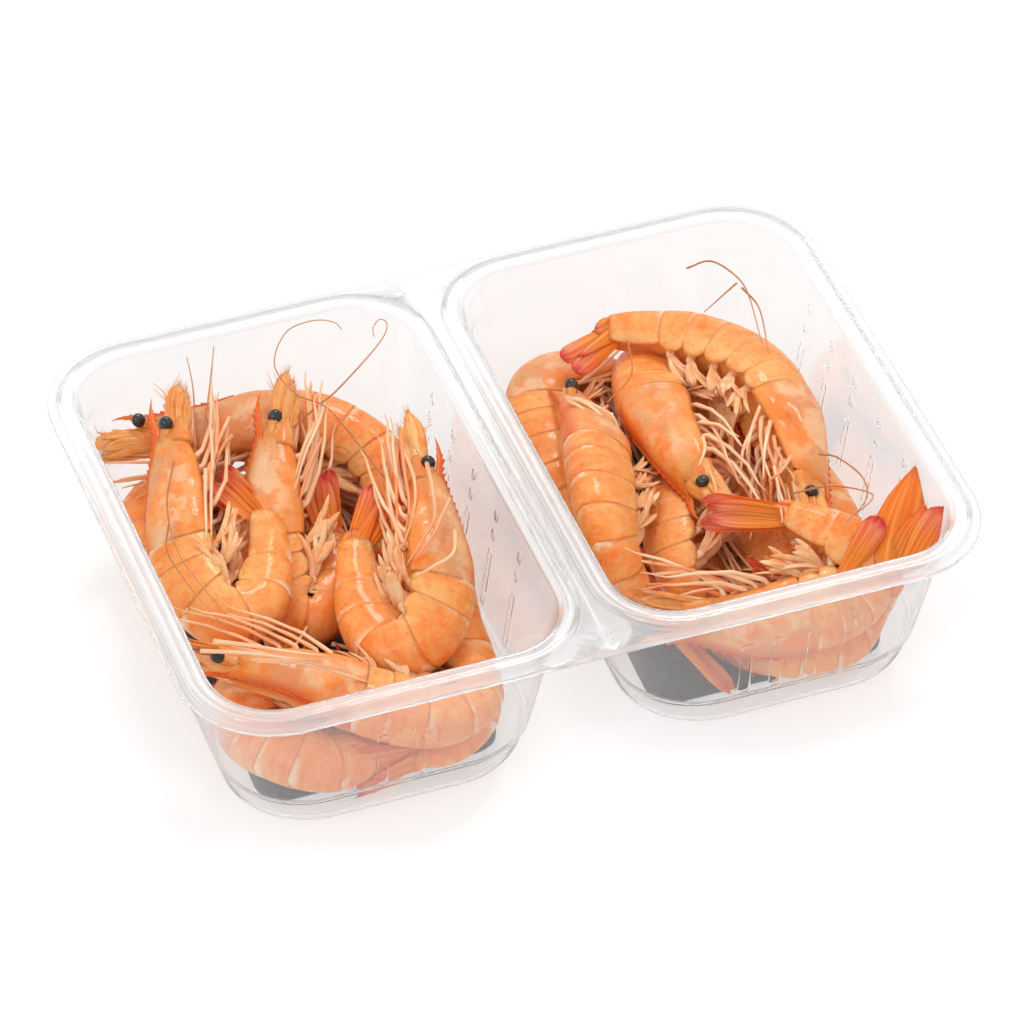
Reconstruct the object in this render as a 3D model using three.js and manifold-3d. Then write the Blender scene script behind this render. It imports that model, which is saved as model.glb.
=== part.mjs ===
// Clear tray with two tubs side by side, joined by a flat web, each holding a pile of cooked
// head-on shrimps on an absorbent pad. Millimetres, +Z up. The origin is on the surface the tray
// stands on, under its middle; X runs along the long side, and the front edge is at -Y.
import * as THREE from 'three';
import { mergeVertices } from 'three/addons/utils/BufferGeometryUtils.js';
import Module from 'manifold-3d';

const wasm = await Module();
wasm.setup();

// Tray
const TRAY_LENGTH = 187;
const TRAY_DEPTH = 138;
const FLANGE_TOP = 43;
const FLANGE_CORNER = 22;
const SHEET = 0.7;
const BEAD_HEIGHT = 1.5;
const BEAD_SET_BACK = 1.8;
const BEAD_WIDTH = 5.1;
const WEB_HALF = 1.2;
const WALL_DRAFT = 6;
const TUB_CORNER_TOP = 15.5;
const TUB_CORNER_FLOOR = 19;
const FLOOR_FILLET = 4;
const FILLET_MIDDLE = 1.2;
const LEDGE_HEIGHT = 9;
const LEDGE_STEP = 0.6;
const LEDGE_SLOPE = 0.4;
const BEAD_SLOPE = 0.6;
const CORNER_STEPS = 4;

// Pads
const PAD_LENGTH = 57;
const PAD_DEPTH = 94;
const PAD_CORNER = 7;
const PAD_THICKNESS = 1.6;
const GAP = 0.3;
const CLEAN_UP = 0.08;

// Shrimp bodies: rows of place along the back, height and width as shares of the full height.
// Each pair of rows at nearly one place is the step where one shell plate overlaps the next.
const BODY_ROWS = [
  [0.0, 0.48, 0.38],
  [0.06, 0.74, 0.57],
  [0.16, 0.92, 0.72],
  [0.335, 1.0, 0.8],
  [0.345, 0.92, 0.73],
  [0.54, 0.94, 0.76],
  [0.55, 0.87, 0.7],
  [0.65, 0.86, 0.68],
  [0.735, 0.77, 0.6],
  [0.745, 0.7, 0.54],
  [0.83, 0.63, 0.47],
  [0.84, 0.56, 0.41],
  [1.0, 0.4, 0.3],
];
const BODY_SIDES = 8;
const BELLY_NARROW = 0.35;
const BELLY_SHARE = 0.8;
const GROWN_BELLY_SHARE = 0.97;
const BEND_STEP = 0.03;

// Blades of the tail, head and legs: length, width and thickness.
const MIDDLE_BLADE = [17, 5, 3];
const SIDE_BLADE = [18, 8, 2];
const BLADES_APART = 1.6;
const TAIL_ROOT = 2;
const BEAK = [15, 4, 2];
const BEAK_RISE = 0.18;
const BEAK_PLACE = 0.2;
const SCALE = [18, 5, 2];
const SCALES_APART = 2.2;
const SCALE_DROP = 1.5;
const EYE_BAR = [11, 3.5, 3];
const EYE_RISE = 1.6;
const EYE_AHEAD = 3;
const HEAD_ROOT = 3;
const LEGS = [17, 12, 4];
const LEG_PLACE = 0.2;
const LEG_LEAN = 0.9;
const LEG_ROOT = 0.25;
const ROOM_ABOVE = 15;

const SHELL = 0xe9965a;
const SHELL_PALE = 0xefae7c;

// Each shrimp lies along points from the front of its head shell to the root of its tail, in
// millimetres from the middle of the tray. "side" is the way its left flank faces at the head,
// and "sideAft" at the tail; "fan" is the way the tail points, and "spread" how far it opens.
const SHRIMPS = [
  {
    name: 'shrimp_left_1', height: 16.5, fan: [-13, 9, 2], spread: 2.5, side: [0.25, 0.35, -1],
    points: [
      [-66, 42, 34], [-71, 24, 31], [-75, 4, 27], [-72, -8, 25], [-64, -9, 25], [-57, 2, 28],
      [-54, 14, 30],
    ],
  },
  {
    name: 'shrimp_left_2', height: 16, fan: [-3, 14, 6], spread: 3, side: [0.2, 0.5, -1],
    points: [
      [-44, 34, 34], [-49, 22, 30], [-53, 10, 23], [-54, -1, 18], [-49, -7, 16],
      [-43, -1, 18], [-39, 11, 21],
    ],
  },
  {
    name: 'shrimp_left_3', height: 17, fan: [9, 12, 5], spread: 3, side: [0.15, -0.45, 1],
    points: [
      [-18, 9, 35], [-21, -6, 33], [-25, -22, 28], [-32, -30, 24], [-39, -28, 22],
      [-41, -17, 24], [-37, 0, 28],
    ],
  },
  {
    name: 'shrimp_left_4', height: 16.5, fan: [-3, -4, -16], spread: 3, side: [0.1, -0.6, 0.8],
    sideAft: [-0.6, -0.2, 0.8],
    points: [
      [-69, 52, 27], [-56, 50, 26], [-41, 48, 26], [-30, 42, 26], [-22, 31, 24],
      [-22, 18, 21], [-27, 8, 15],
    ],
  },
  {
    name: 'shrimp_left_5', height: 15.5, fan: [-14, 6, 4], spread: 3, side: [0, -1, 0.3],
    sideAft: [0, 0.2, -1],
    points: [
      [-76, -29, 28], [-62, -35, 25], [-48, -44, 21], [-36, -49, 18], [-25, -45, 16],
      [-22, -35, 15], [-26, -27, 15],
    ],
  },
  {
    name: 'shrimp_left_6', height: 16, fan: [14, 4, 3], spread: 3, side: [0, 0, -1],
    points: [
      [-46, 34, 11], [-55, 46, 11], [-66, 47, 12], [-74, 38, 13], [-75, 24, 13],
      [-72, 12, 12], [-64, 6, 11],
    ],
  },
  {
    name: 'shrimp_left_7', height: 15.5, fan: [0, 14, 2], spread: 3, side: [0, 0, -1],
    points: [
      [-63, -12, 10], [-72, -21, 10], [-73, -34, 11], [-65, -45, 11], [-55, -48, 10],
      [-46, -43, 10], [-43, -31, 10],
    ],
  },
  {
    name: 'shrimp_left_8', height: 15.5, fan: [-13, 3, -1], spread: 3, side: [0, 0, 1],
    points: [
      [-33, 44, 11], [-22, 33, 11], [-17, 18, 11], [-17, 2, 11], [-20, -14, 11],
      [-23, -29, 11], [-29, -42, 10],
    ],
  },
  {
    name: 'shrimp_right_1', height: 17, fan: [6, -8, -3], spread: 3, side: [0, 0, -1],
    points: [
      [46, 47, 11], [36, 50, 14], [27, 48, 17], [21, 38, 18], [18, 22, 17], [20, 6, 15],
      [25, -6, 12],
    ],
  },
  {
    name: 'shrimp_right_2', height: 17, fan: [-14, -9, -1], spread: 3, side: [-0.35, 0.2, -0.9],
    sideAft: [0, 0.5, -0.9],
    points: [
      [66, -15, 27], [69, 2, 29], [69, 17, 30], [66, 28, 30], [59, 38, 30], [50, 45, 30],
      [42, 48, 30],
    ],
  },
  {
    name: 'shrimp_right_3', height: 16.5, fan: [7, -18, -8], spread: 2, side: [-0.9, 0.1, 0.3],
    points: [
      [30, 35, 23], [26, 18, 28], [22, 0, 33], [19, -14, 33], [18, -23, 30], [20, -29, 23],
      [23, -31, 15],
    ],
  },
  {
    name: 'shrimp_right_4', height: 17, fan: [-2, -12, 3], spread: 3, side: [-0.4, -0.2, 0.9],
    sideAft: [0.6, 0, 0.8],
    points: [
      [43, -5, 29], [43, 12, 28], [45, 29, 24], [50, 42, 17], [59, 47, 11], [68, 41, 10],
      [69, 32, 10],
    ],
  },
  {
    name: 'shrimp_right_5', height: 15.5, fan: [2, -8, -8], spread: 2, side: [0.3, 0.2, -0.9],
    points: [
      [51, 26, 11], [47, 15, 14], [41, 2, 18], [36, -9, 20], [33, -19, 20], [32, -28, 17],
      [34, -34, 12],
    ],
  },
  {
    name: 'shrimp_right_6', height: 16, fan: [-16, 1, 3], spread: 3, side: [0, -1, -0.5],
    sideAft: [-0.3, 0, -1],
    points: [
      [29, -42, 21], [41, -47, 20], [54, -48, 20], [65, -46, 21], [71, -38, 24],
      [66, -30, 30], [56, -30, 33],
    ],
  },
  {
    name: 'shrimp_right_7', height: 15.5, fan: [-4, -5, 9], spread: 3, side: [1, 0, 0],
    points: [
      [60, 22, 13], [58, 10, 12], [56, -2, 11], [54, -14, 11], [52, -26, 12], [49, -35, 14],
    ],
  },
  {
    name: 'shrimp_right_8', height: 14.5, fan: [4, 3, 17], spread: 12, side: [0, 0.2, -1],
    sideAft: [1, 0.3, 0.2],
    points: [
      [40, -22, 9], [39, -33, 9], [44, -43, 10], [54, -48, 10], [65, -47, 10], [73, -42, 14],
      [74, -41, 21], [73, -44, 27],
    ],
  },
  {
    name: 'shrimp_right_9', height: 14.5, fan: [-8, 8, 0], spread: 3, side: [0, 0, -1],
    points: [
      [75, -26, 18], [76, -14, 15], [76, -2, 12], [75, 9, 11], [71, 19, 10],
    ],
  },
];

const vector = (xyz) => new THREE.Vector3(...xyz);
const mix = (a, b, share) => a + (b - a) * share;

// Turns a closed triangle mesh into a solid.
function solidFrom(geometry) {
  const bare = geometry.index ? geometry.toNonIndexed() : geometry.clone();
  bare.deleteAttribute('normal');
  bare.deleteAttribute('uv');
  const merged = mergeVertices(bare, 1e-4);
  return new wasm.Manifold(new wasm.Mesh({
    numProp: 3,
    vertProperties: Float32Array.from(merged.attributes.position.array),
    triVerts: Uint32Array.from(merged.index.array),
  }));
}

function geometryFrom(solid) {
  const mesh = solid.getMesh();
  const geometry = new THREE.BufferGeometry();
  geometry.setAttribute('position', new THREE.BufferAttribute(Float32Array.from(mesh.vertProperties), 3));
  geometry.setIndex(new THREE.BufferAttribute(Uint32Array.from(mesh.triVerts), 1));
  geometry.computeVertexNormals();
  return geometry;
}

// Joins rings of points, all with the same count, into a closed solid. The rings turn
// anticlockwise seen from the last one back to the first.
function loft(rings) {
  const count = rings[0].length;
  const points = rings.flat();
  const faces = [];
  for (let ring = 0; ring < rings.length - 1; ring++) {
    for (let k = 0; k < count; k++) {
      const next = (k + 1) % count;
      const a = ring * count + k;
      const b = ring * count + next;
      faces.push(a, b, b + count, a, b + count, a + count);
    }
  }
  const last = (rings.length - 1) * count;
  for (let k = 1; k < count - 1; k++) {
    faces.push(0, k + 1, k);
    faces.push(last, last + k, last + k + 1);
  }
  const geometry = new THREE.BufferGeometry().setFromPoints(points);
  geometry.setIndex(faces);
  return solidFrom(geometry);
}

// One level ring: a rectangle with round corners at height z.
function roundedRing({ left, right, front, back, radius, z }) {
  const corners = [
    [right - radius, back - radius, 0],
    [left + radius, back - radius, 1],
    [left + radius, front + radius, 2],
    [right - radius, front + radius, 3],
  ];
  const ring = [];
  for (const [x, y, quarter] of corners) {
    for (let step = 0; step <= CORNER_STEPS; step++) {
      const angle = (quarter + step / CORNER_STEPS) * Math.PI / 2;
      ring.push(new THREE.Vector3(x + radius * Math.cos(angle), y + radius * Math.sin(angle), z));
    }
  }
  return ring;
}

// The tub's inner face at height z, moved outwards by grow.
function tubRing(z, grow, levelZ = z) {
  const rise = z / FLANGE_TOP;
  const fillet = z < FLOOR_FILLET ? FLOOR_FILLET - Math.sqrt(FLOOR_FILLET ** 2 - (FLOOR_FILLET - z) ** 2) : 0;
  const inset = WALL_DRAFT * (1 - rise) + fillet + (z < LEDGE_HEIGHT ? LEDGE_STEP : 0) - grow;
  const rim = BEAD_SET_BACK + BEAD_WIDTH;
  return roundedRing({
    left: WEB_HALF + BEAD_WIDTH + inset,
    right: TRAY_LENGTH / 2 - rim - inset,
    front: -TRAY_DEPTH / 2 + rim + inset,
    back: TRAY_DEPTH / 2 - rim - inset,
    radius: mix(TUB_CORNER_FLOOR, TUB_CORNER_TOP, rise) - fillet + grow,
    z: levelZ,
  });
}

// The tub as a filled block, from its floor up, grown outwards by grow and let down by drop.
function tubBlock(grow, drop, top) {
  const levels = [0, FILLET_MIDDLE, FLOOR_FILLET, LEDGE_HEIGHT - 0.01, LEDGE_HEIGHT + LEDGE_SLOPE];
  const rings = levels.map((z) => tubRing(z, grow, z + drop));
  rings.push(tubRing(FLANGE_TOP, grow, top));
  return loft(rings);
}

function beadBlock() {
  const box = (inset) => ({
    left: WEB_HALF + inset,
    right: TRAY_LENGTH / 2 - BEAD_SET_BACK - inset,
    front: -TRAY_DEPTH / 2 + BEAD_SET_BACK + inset,
    back: TRAY_DEPTH / 2 - BEAD_SET_BACK - inset,
    radius: FLANGE_CORNER - BEAD_SET_BACK - inset,
  });
  return loft([
    roundedRing({ ...box(0), z: FLANGE_TOP - SHEET }),
    roundedRing({ ...box(0), z: FLANGE_TOP }),
    roundedRing({ ...box(BEAD_SLOPE), z: FLANGE_TOP + BEAD_HEIGHT }),
  ]);
}

function makeTray() {
  const outline = {
    left: -TRAY_LENGTH / 2,
    right: TRAY_LENGTH / 2,
    front: -TRAY_DEPTH / 2,
    back: TRAY_DEPTH / 2,
    radius: FLANGE_CORNER,
  };
  let tray = loft([
    roundedRing({ ...outline, z: FLANGE_TOP - SHEET }),
    roundedRing({ ...outline, z: FLANGE_TOP }),
  ]);
  const shell = tubBlock(SHEET, 0, FLANGE_TOP - SHEET / 2).add(beadBlock());
  const hollow = tubBlock(0, SHEET, FLANGE_TOP + BEAD_HEIGHT + 1);
  tray = tray.add(shell).add(shell.mirror([1, 0, 0]));
  return tray.subtract(hollow).subtract(hollow.mirror([1, 0, 0]));
}

function makePad(middle) {
  const half = PAD_LENGTH / 2;
  const outline = {
    left: middle - half,
    right: middle + half,
    front: -PAD_DEPTH / 2,
    back: PAD_DEPTH / 2,
    radius: PAD_CORNER,
  };
  const low = SHEET + GAP;
  return loft([roundedRing({ ...outline, z: low }), roundedRing({ ...outline, z: low + PAD_THICKNESS })]);
}

// A pointed blade with four sides, from its base along one way, moved outwards by grow.
function blade(base, along, across, [length, width, thickness], grow) {
  const normal = along.clone().cross(across).normalize();
  const ring = (place, wide, thick) => {
    const middle = base.clone().addScaledVector(along, place);
    const out = wide / 2 + grow;
    const lift = thick / 2 + grow;
    return [
      middle.clone().addScaledVector(across, out),
      middle.clone().addScaledVector(normal, lift),
      middle.clone().addScaledVector(across, -out),
      middle.clone().addScaledVector(normal, -lift),
    ];
  };
  return loft([
    ring(-grow, width / 2, thickness),
    ring(length * 0.6, width, thickness),
    ring(length + grow, width / 4, thickness / 2),
  ]);
}

// Where the shrimp's back is at each share of its length, with its own three directions.
function makeSpine(shrimp) {
  const curve = new THREE.CatmullRomCurve3(shrimp.points.map(vector), false, 'catmullrom', 0.5);
  const fore = vector(shrimp.side);
  const aft = vector(shrimp.sideAft ?? shrimp.side);
  const at = (share) => {
    const tangent = curve.getTangentAt(share);
    const side = fore.clone().lerp(aft, share);
    side.addScaledVector(tangent, -side.dot(tangent)).normalize();
    const back = side.clone().cross(tangent);
    return { point: curve.getPointAt(share), tangent, side, back };
  };
  const turning = (share) => {
    const low = Math.max(share - BEND_STEP, 0);
    const high = Math.min(share + BEND_STEP, 1);
    const turn = curve.getTangentAt(high).sub(curve.getTangentAt(low));
    return -turn.dot(at(share).back) / ((high - low) * curve.getLength());
  };
  const bend = (share) => {
    const near = [Math.max(share - BEND_STEP, 0), share, Math.min(share + BEND_STEP, 1)];
    return Math.max(...near.map(turning));
  };
  return { at, bend };
}

// The body, whose belly stops short of the middle of its own curl.
function makeBody(spine, height, grow) {
  const reach = grow > 0 ? GROWN_BELLY_SHARE : BELLY_SHARE;
  const rings = BODY_ROWS.map(([share, tall, wide]) => {
    const { point, side, back } = spine.at(share);
    const up = height * tall / 2 + grow;
    const down = Math.min(up, reach / Math.max(spine.bend(share), 1e-3));
    const ring = [];
    for (let k = 0; k < BODY_SIDES; k++) {
      const angle = k / BODY_SIDES * 2 * Math.PI;
      const lift = Math.cos(angle);
      const narrow = lift < 0 ? 1 + BELLY_NARROW * lift : 1;
      const rise = lift * (lift > 0 ? up : down);
      const out = Math.sin(angle) * narrow * (height * wide / 2 + grow);
      ring.push(point.clone().addScaledVector(back, rise).addScaledVector(side, out));
    }
    return ring;
  });
  return loft(rings);
}

// The tail: a middle blade with a broad blade on each side.
function makeTail(spine, shrimp, grow) {
  const { point, side, tangent } = spine.at(1);
  const along = vector(shrimp.fan).normalize();
  const across = side.clone().addScaledVector(along, -side.dot(along)).normalize();
  const root = point.clone().addScaledVector(tangent, -TAIL_ROOT);
  let tail = blade(root, along, across, MIDDLE_BLADE, grow);
  for (const hand of [-1, 1]) {
    const tip = along.clone().multiplyScalar(SIDE_BLADE[0]);
    tip.addScaledVector(across, hand * shrimp.spread);
    const from = root.clone().addScaledVector(across, hand * BLADES_APART);
    tail = tail.add(blade(from, tip.normalize(), across, SIDE_BLADE, grow));
  }
  return tail;
}

// The head's spike, its two flat scales and both eyes on one bar.
function makeHead(spine, height, grow) {
  const { point, side, back, tangent } = spine.at(0);
  const ahead = tangent.clone().negate();
  const inside = point.clone().addScaledVector(tangent, HEAD_ROOT);
  const snout = ahead.clone().addScaledVector(back, BEAK_RISE).normalize();
  const beakRoot = inside.clone().addScaledVector(back, height * BEAK_PLACE);
  let head = blade(beakRoot, snout, back, BEAK, grow);
  for (const hand of [-1, 1]) {
    const low = inside.clone().addScaledVector(side, hand * SCALES_APART);
    low.addScaledVector(back, -SCALE_DROP);
    head = head.add(blade(low, ahead, back, SCALE, grow));
  }
  const eyes = inside.clone().addScaledVector(back, EYE_RISE).addScaledVector(ahead, EYE_AHEAD);
  eyes.addScaledVector(side, -EYE_BAR[0] / 2);
  return head.add(blade(eyes, side, back, EYE_BAR, grow));
}

// The walking legs, folded forwards under the head shell as one bundle.
function makeLegs(spine, height, grow) {
  const { point, back, tangent } = spine.at(LEG_PLACE);
  const way = back.clone().negate().addScaledVector(tangent, -LEG_LEAN).normalize();
  const hip = point.clone().addScaledVector(back, -height * LEG_ROOT);
  const across = tangent.clone().addScaledVector(way, -tangent.dot(way)).normalize();
  return blade(hip, way, across, LEGS, grow);
}

function makeShrimp(shrimp, grow) {
  const spine = makeSpine(shrimp);
  return makeBody(spine, shrimp.height, grow)
    .add(makeTail(spine, shrimp, grow))
    .add(makeHead(spine, shrimp.height, grow))
    .add(makeLegs(spine, shrimp.height, grow));
}

function largestPart(solid) {
  const parts = solid.decompose();
  return parts.reduce((best, part) => (part.volume() > best.volume() ? part : best));
}

const group = new THREE.Group();

function addMesh(name, solid, material) {
  const mesh = new THREE.Mesh(geometryFrom(solid), material);
  mesh.name = name;
  group.add(mesh);
}

const plastic = new THREE.MeshStandardMaterial({
  color: 0xf4f7f8, roughness: 0.12, metalness: 0, transparent: true, opacity: 0.35,
});
const padCloth = new THREE.MeshStandardMaterial({ color: 0x4c4e52, roughness: 0.9, metalness: 0 });
const shellMaterial = (colour) => new THREE.MeshStandardMaterial({
  color: colour, roughness: 0.35, metalness: 0,
});

addMesh('tray', makeTray(), plastic);
const tubMiddle = (WEB_HALF + TRAY_LENGTH / 2 - BEAD_SET_BACK) / 2;
addMesh('pad_left', makePad(-tubMiddle), padCloth);
addMesh('pad_right', makePad(tubMiddle), padCloth);

// The shrimps on top keep their whole shape, and each one under them gives way to those above.
const room = tubBlock(-GAP, SHEET + PAD_THICKNESS + 2 * GAP, FLANGE_TOP + ROOM_ABOVE);
const rooms = { left: room.mirror([1, 0, 0]), right: room };
const placed = [];
SHRIMPS.forEach((shrimp, index) => {
  const tub = shrimp.name.includes('left') ? 'left' : 'right';
  let solid = makeShrimp(shrimp, 0).intersect(rooms[tub]);
  for (const above of placed.filter((other) => other.tub === tub)) {
    solid = solid.subtract(above.grown);
  }
  placed.push({ tub, grown: makeShrimp(shrimp, 2 * GAP) });
  addMesh(shrimp.name, largestPart(solid).simplify(CLEAN_UP), shellMaterial(index % 2 ? SHELL_PALE : SHELL));
});

export default group;
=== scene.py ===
"""Looks of a clear twin tray of cooked head-on shrimps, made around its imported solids.

Lengths are in millimetres, in the frame of the solids, and become metres where a mesh is made.
"""
import math

import bmesh
import bpy
import numpy as np
from mathutils import Matrix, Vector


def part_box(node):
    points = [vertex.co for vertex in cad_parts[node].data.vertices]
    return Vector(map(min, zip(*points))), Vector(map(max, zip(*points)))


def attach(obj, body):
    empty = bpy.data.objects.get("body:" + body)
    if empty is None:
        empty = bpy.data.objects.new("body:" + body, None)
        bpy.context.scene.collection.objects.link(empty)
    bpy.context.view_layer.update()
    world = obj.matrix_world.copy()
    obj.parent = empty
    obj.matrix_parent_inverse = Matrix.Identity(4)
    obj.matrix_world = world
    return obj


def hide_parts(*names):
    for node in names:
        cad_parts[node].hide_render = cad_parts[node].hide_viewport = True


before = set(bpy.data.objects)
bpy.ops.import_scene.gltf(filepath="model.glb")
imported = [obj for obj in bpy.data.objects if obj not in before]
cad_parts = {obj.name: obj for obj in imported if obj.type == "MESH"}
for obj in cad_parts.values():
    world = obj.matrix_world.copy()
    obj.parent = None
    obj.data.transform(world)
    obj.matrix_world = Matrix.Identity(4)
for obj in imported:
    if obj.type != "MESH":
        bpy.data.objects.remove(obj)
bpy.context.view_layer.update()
MM = 0.001

# The camera, as the photograph was taken: the point it looks at, and degrees from there
LOOK_AT = (10.65, 27.9, 0.0)
CAMERA_DISTANCE = 1515.2
CAMERA_AZIMUTH = 19.84
CAMERA_ELEVATION = 41.65
CAMERA_ROLL = -0.08
LENS = 228.5
SENSOR = 36

# The tray, with the sizes of its solid
TRAY_LENGTH = 187
TRAY_DEPTH = 138
FLANGE_TOP = 43
FLANGE_CORNER = 22
SHEET = 0.7
BEAD_HEIGHT = 1.5
BEAD_SET_BACK = 1.8
BEAD_WIDTH = 5.1
WEB_HALF = 1.2
WALL_DRAFT = 6
TUB_CORNER_TOP = 15.5
TUB_CORNER_FLOOR = 19
FLOOR_FILLET = 4
LEDGE_HEIGHT = 9
LEDGE_STEP = 0.6
TUB_MIDDLE = (WEB_HALF + TRAY_LENGTH / 2 - BEAD_SET_BACK) / 2

# Flutes and dots pressed into the walls: places along each wall, then heights
SIDE_FLUTES = (-26, -11, 4, 18, 32)
BACK_FLUTES = (-8.2, 0, 8.2)
FRONT_FLUTES = (-12, -4.5, 4)
FLUTE_HALF = 1.4
FLUTE_DEPTH = 0.1
FLUTE_RIM = 0.3
FLUTE_RIM_STATIONS = (-0.5, 0.15, 0.5, 0.85, 1.6)
FLUTE_LOW = 12
FLUTE_TOPS = {"side": 27, "back": 29, "front": 27}
FLUTE_STRENGTH = {"side": 1, "back": 1, "front": 2}
SIDE_DOTS = (36.5, 31)
BACK_DOTS = (38.7, 33.2)
# A dot's stretch along and up the wall, and its rim
DOT_STRETCH = (1.15, 1.5)
DOT_RIM = (1.15, 0.9)
# Stacking lugs in the back corners: angles, then depth, height and taper
LUG_ANGLES = (43, 78)
LUG_DEPTH = 3.2
LUG_FOOT = (33.5, 36)
LUG_HEAD = (41.5, 40.5)
LUG_HALF_ANGLE = 9
LUG_WIDEST = 41
LUG_TAPER = 0.6
# Each cross on the web: its middle and the half length of its bars
WEB_MARKS = (((0.3, -62.5, 43.05), 2.4), ((-3.8, 64.2, 43.05), 1.4))
CORNER_ANGLES = np.linspace(0, 90, 18)[1:-1]
# Shares of the floor from the middle out, then heights of its rounded edge and of the ledge
FLOOR_SHARES = (0.1, 0.4, 0.7, 0.95)
FLOOR_ROWS = (0.15, 0.5, 1, 1.7, 2.6, 4, 6, 8, LEDGE_HEIGHT - 0.05)
# Heights of the wall's rows, close together where flutes end and where the dots are
WALL_ROWS = (*np.arange(9.4, 12.2, 0.4), *np.arange(13, 25, 2), *np.arange(25.2, 42, 0.42))
# The bead's upper side, with two fine grooves along it: distance in from its outer edge, and height
BEAD_TOP = ((4.95, 44.05), (4.5, 44.4), (4.1, 44.5), (3.9, 44.36), (3.7, 44.5), (2.4, 44.5), (1.8, 44.48),
            (1.6, 44.32), (1.4, 44.44), (0.6, 44.1), (0.15, 43.2))
# Its lower side, from the flange to the tub
BEAD_UNDER = ((0.55, 42.3), (0.75, 42.9), (1.2, 43.6), (2.4, 43.8), (3.6, 43.8), (4.2, 43.5))

# Shrimp anatomy: where each shell plate ends along the body, and the body's height and width there
PLATE_ENDS = (0, 0.375, 0.455, 0.555, 0.66, 0.75, 0.84, 1)
BODY_PLACES = (0, 0.05, 0.12, 0.22, 0.32, 0.37, 0.45, 0.6, 0.7, 0.8, 0.88, 0.94, 1)
BODY_HEIGHTS = (0.5, 0.59, 0.71, 0.87, 0.99, 0.97, 0.98, 0.92, 0.84, 0.72, 0.58, 0.5, 0.42)
BODY_WIDTHS = (0.44, 0.51, 0.6, 0.72, 0.81, 0.78, 0.8, 0.74, 0.66, 0.54, 0.44, 0.38, 0.32)
# The section from the middle of the back to the flank's lower edge: share, out, up
SECTION_SHARE = (0, 0.15, 0.3, 0.45, 0.6, 0.75, 0.9, 1)
SECTION_OUT = (0, 0.42, 0.74, 0.94, 1, 0.98, 0.86, 0.7)
SECTION_UP = (1, 0.92, 0.68, 0.36, 0, -0.4, -0.74, -0.92)
BELLY_UP = -0.66
CURL_SHARE = 0.92
CURL_STEP = 0.03
PLATE_TUCK = 0.08
PLATE_LIP = 0.02

# The pads: their top, how far they reach from the tub's middle, round corners, quilting and waves
PAD_TOP = 2.6
PAD_HALF = (28.5, 47)
PAD_CORNER = 7.0
PAD_MESH = (58, 94)
QUILT_STEP = 6
QUILT_DEPTH = 0.18
WAVE_DEPTH = 0.08
WAVE_LENGTH = 9

# Points on each half of a section, and the belly's points across as shares of the flank's edge
FLANK_STEPS = 17
BELLY_OUT = (0.8, 0.62, 0.36, 0.12)
# The head shell's front edge: how far down the flank, and how far along the body it stands
FRONT_DOWN = (0, 0.1, 0.26, 0.42, 0.6, 0.8, 1)
FRONT_EDGE = (-0.035, -0.012, 0.028, 0, 0.01, 0.03, 0.06)
# Where that edge turns inwards: share of its outline, and depth
FRONT_TURN = ((0.35, 3), (0.7, 1.8), (0.93, 0.7))

# An eye's half width, its half depth towards the back and its half length along the stalk
EYE_HALF = (1.7, 1.5, 1.8)
# An eye that its head hides stands this far ahead, up and out
HIDDEN_EYE = (-3.5, 0.4, 1.4)

# Blade outlines: share along, then half widths on the outer and the inner edge
SCALE_OUTLINE = ((0, 0.1, 0.4, 0.75, 0.9, 1), (0.4, 0.56, 0.68, 0.5, 0.28, 0.06),
                 (0.4, 0.72, 1, 0.9, 0.62, 0.15))
OUTER_OUTLINE = ((0, 0.1, 0.35, 0.65, 0.88, 0.96, 1), (0.35, 0.5, 0.7, 0.85, 0.85, 0.6, 0.2),
                 (0.3, 0.45, 0.8, 1.1, 1.05, 0.8, 0.35))
INNER_OUTLINE = ((0, 0.1, 0.35, 0.6, 0.85, 1), (0.34, 0.5, 0.85, 1, 0.75, 0.15),
                 (0.34, 0.5, 0.85, 1, 0.75, 0.15))
POINTED_OUTLINE = ((0, 0.1, 0.35, 0.6, 0.8, 0.92, 1), (0.3, 0.5, 0.8, 1, 0.95, 0.7, 0.1),
                   (0.35, 0.65, 0.95, 0.78, 0.48, 0.22, 0.04))
TELSON_OUTLINE = ((0, 0.12, 0.5, 0.85, 1), (0.8, 1, 0.72, 0.34, 0.06), (0.8, 1, 0.72, 0.34, 0.06))

# The scales on each side of the head, from the top one: how much deeper each starts, length, width
SCALE_LEAVES = ((-1, 12.5, 2), (0, 15.5, 6.4), (1.1, 13, 4.4), (2.2, 10.5, 2.4))

# The fingers of a swimmeret: lean forwards, length, width; then widths along one finger
SWIM_FINGERS = ((0.4, 10.5, 1.5), (0.15, 10, 1.5), (-0.1, 9, 1.4), (0.6, 8.5, 1.3), (0.3, 6.5, 1.5))
FINGER_PLACES = (0, 0.15, 0.55, 0.85, 0.95, 1)
FINGER_SIZES = (0.75, 0.95, 1, 0.8, 0.55, 0.15)

# A walking leg's joints: their lengths, then half widths at shares of the whole leg
LEG_LENGTHS = (3, 7, 8, 6, 3)
LEG_SHARES = (0, 0.12, 0.35, 0.65, 0.88, 1)
LEG_SIZES = (0.8, 0.64, 0.5, 0.38, 0.26, 0.1)

# The tail's blades: hand, share of the spread, place out and up at the root, length, outline
TAIL_BLADES = (
    (1, 1, 1.7, 0.5, 1, OUTER_OUTLINE), (-1, 1, 1.7, 0.2, 1, OUTER_OUTLINE),
    (1, 0.42, 1, -0.5, 0.95, INNER_OUTLINE), (-1, 0.42, 1, -0.8, 0.95, INNER_OUTLINE))

FOOD_FINISHES = ["shell", "limb", "soft_limb", "scale_leaf", "beak", "tail_blade", "eye", "feeler"]

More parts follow.
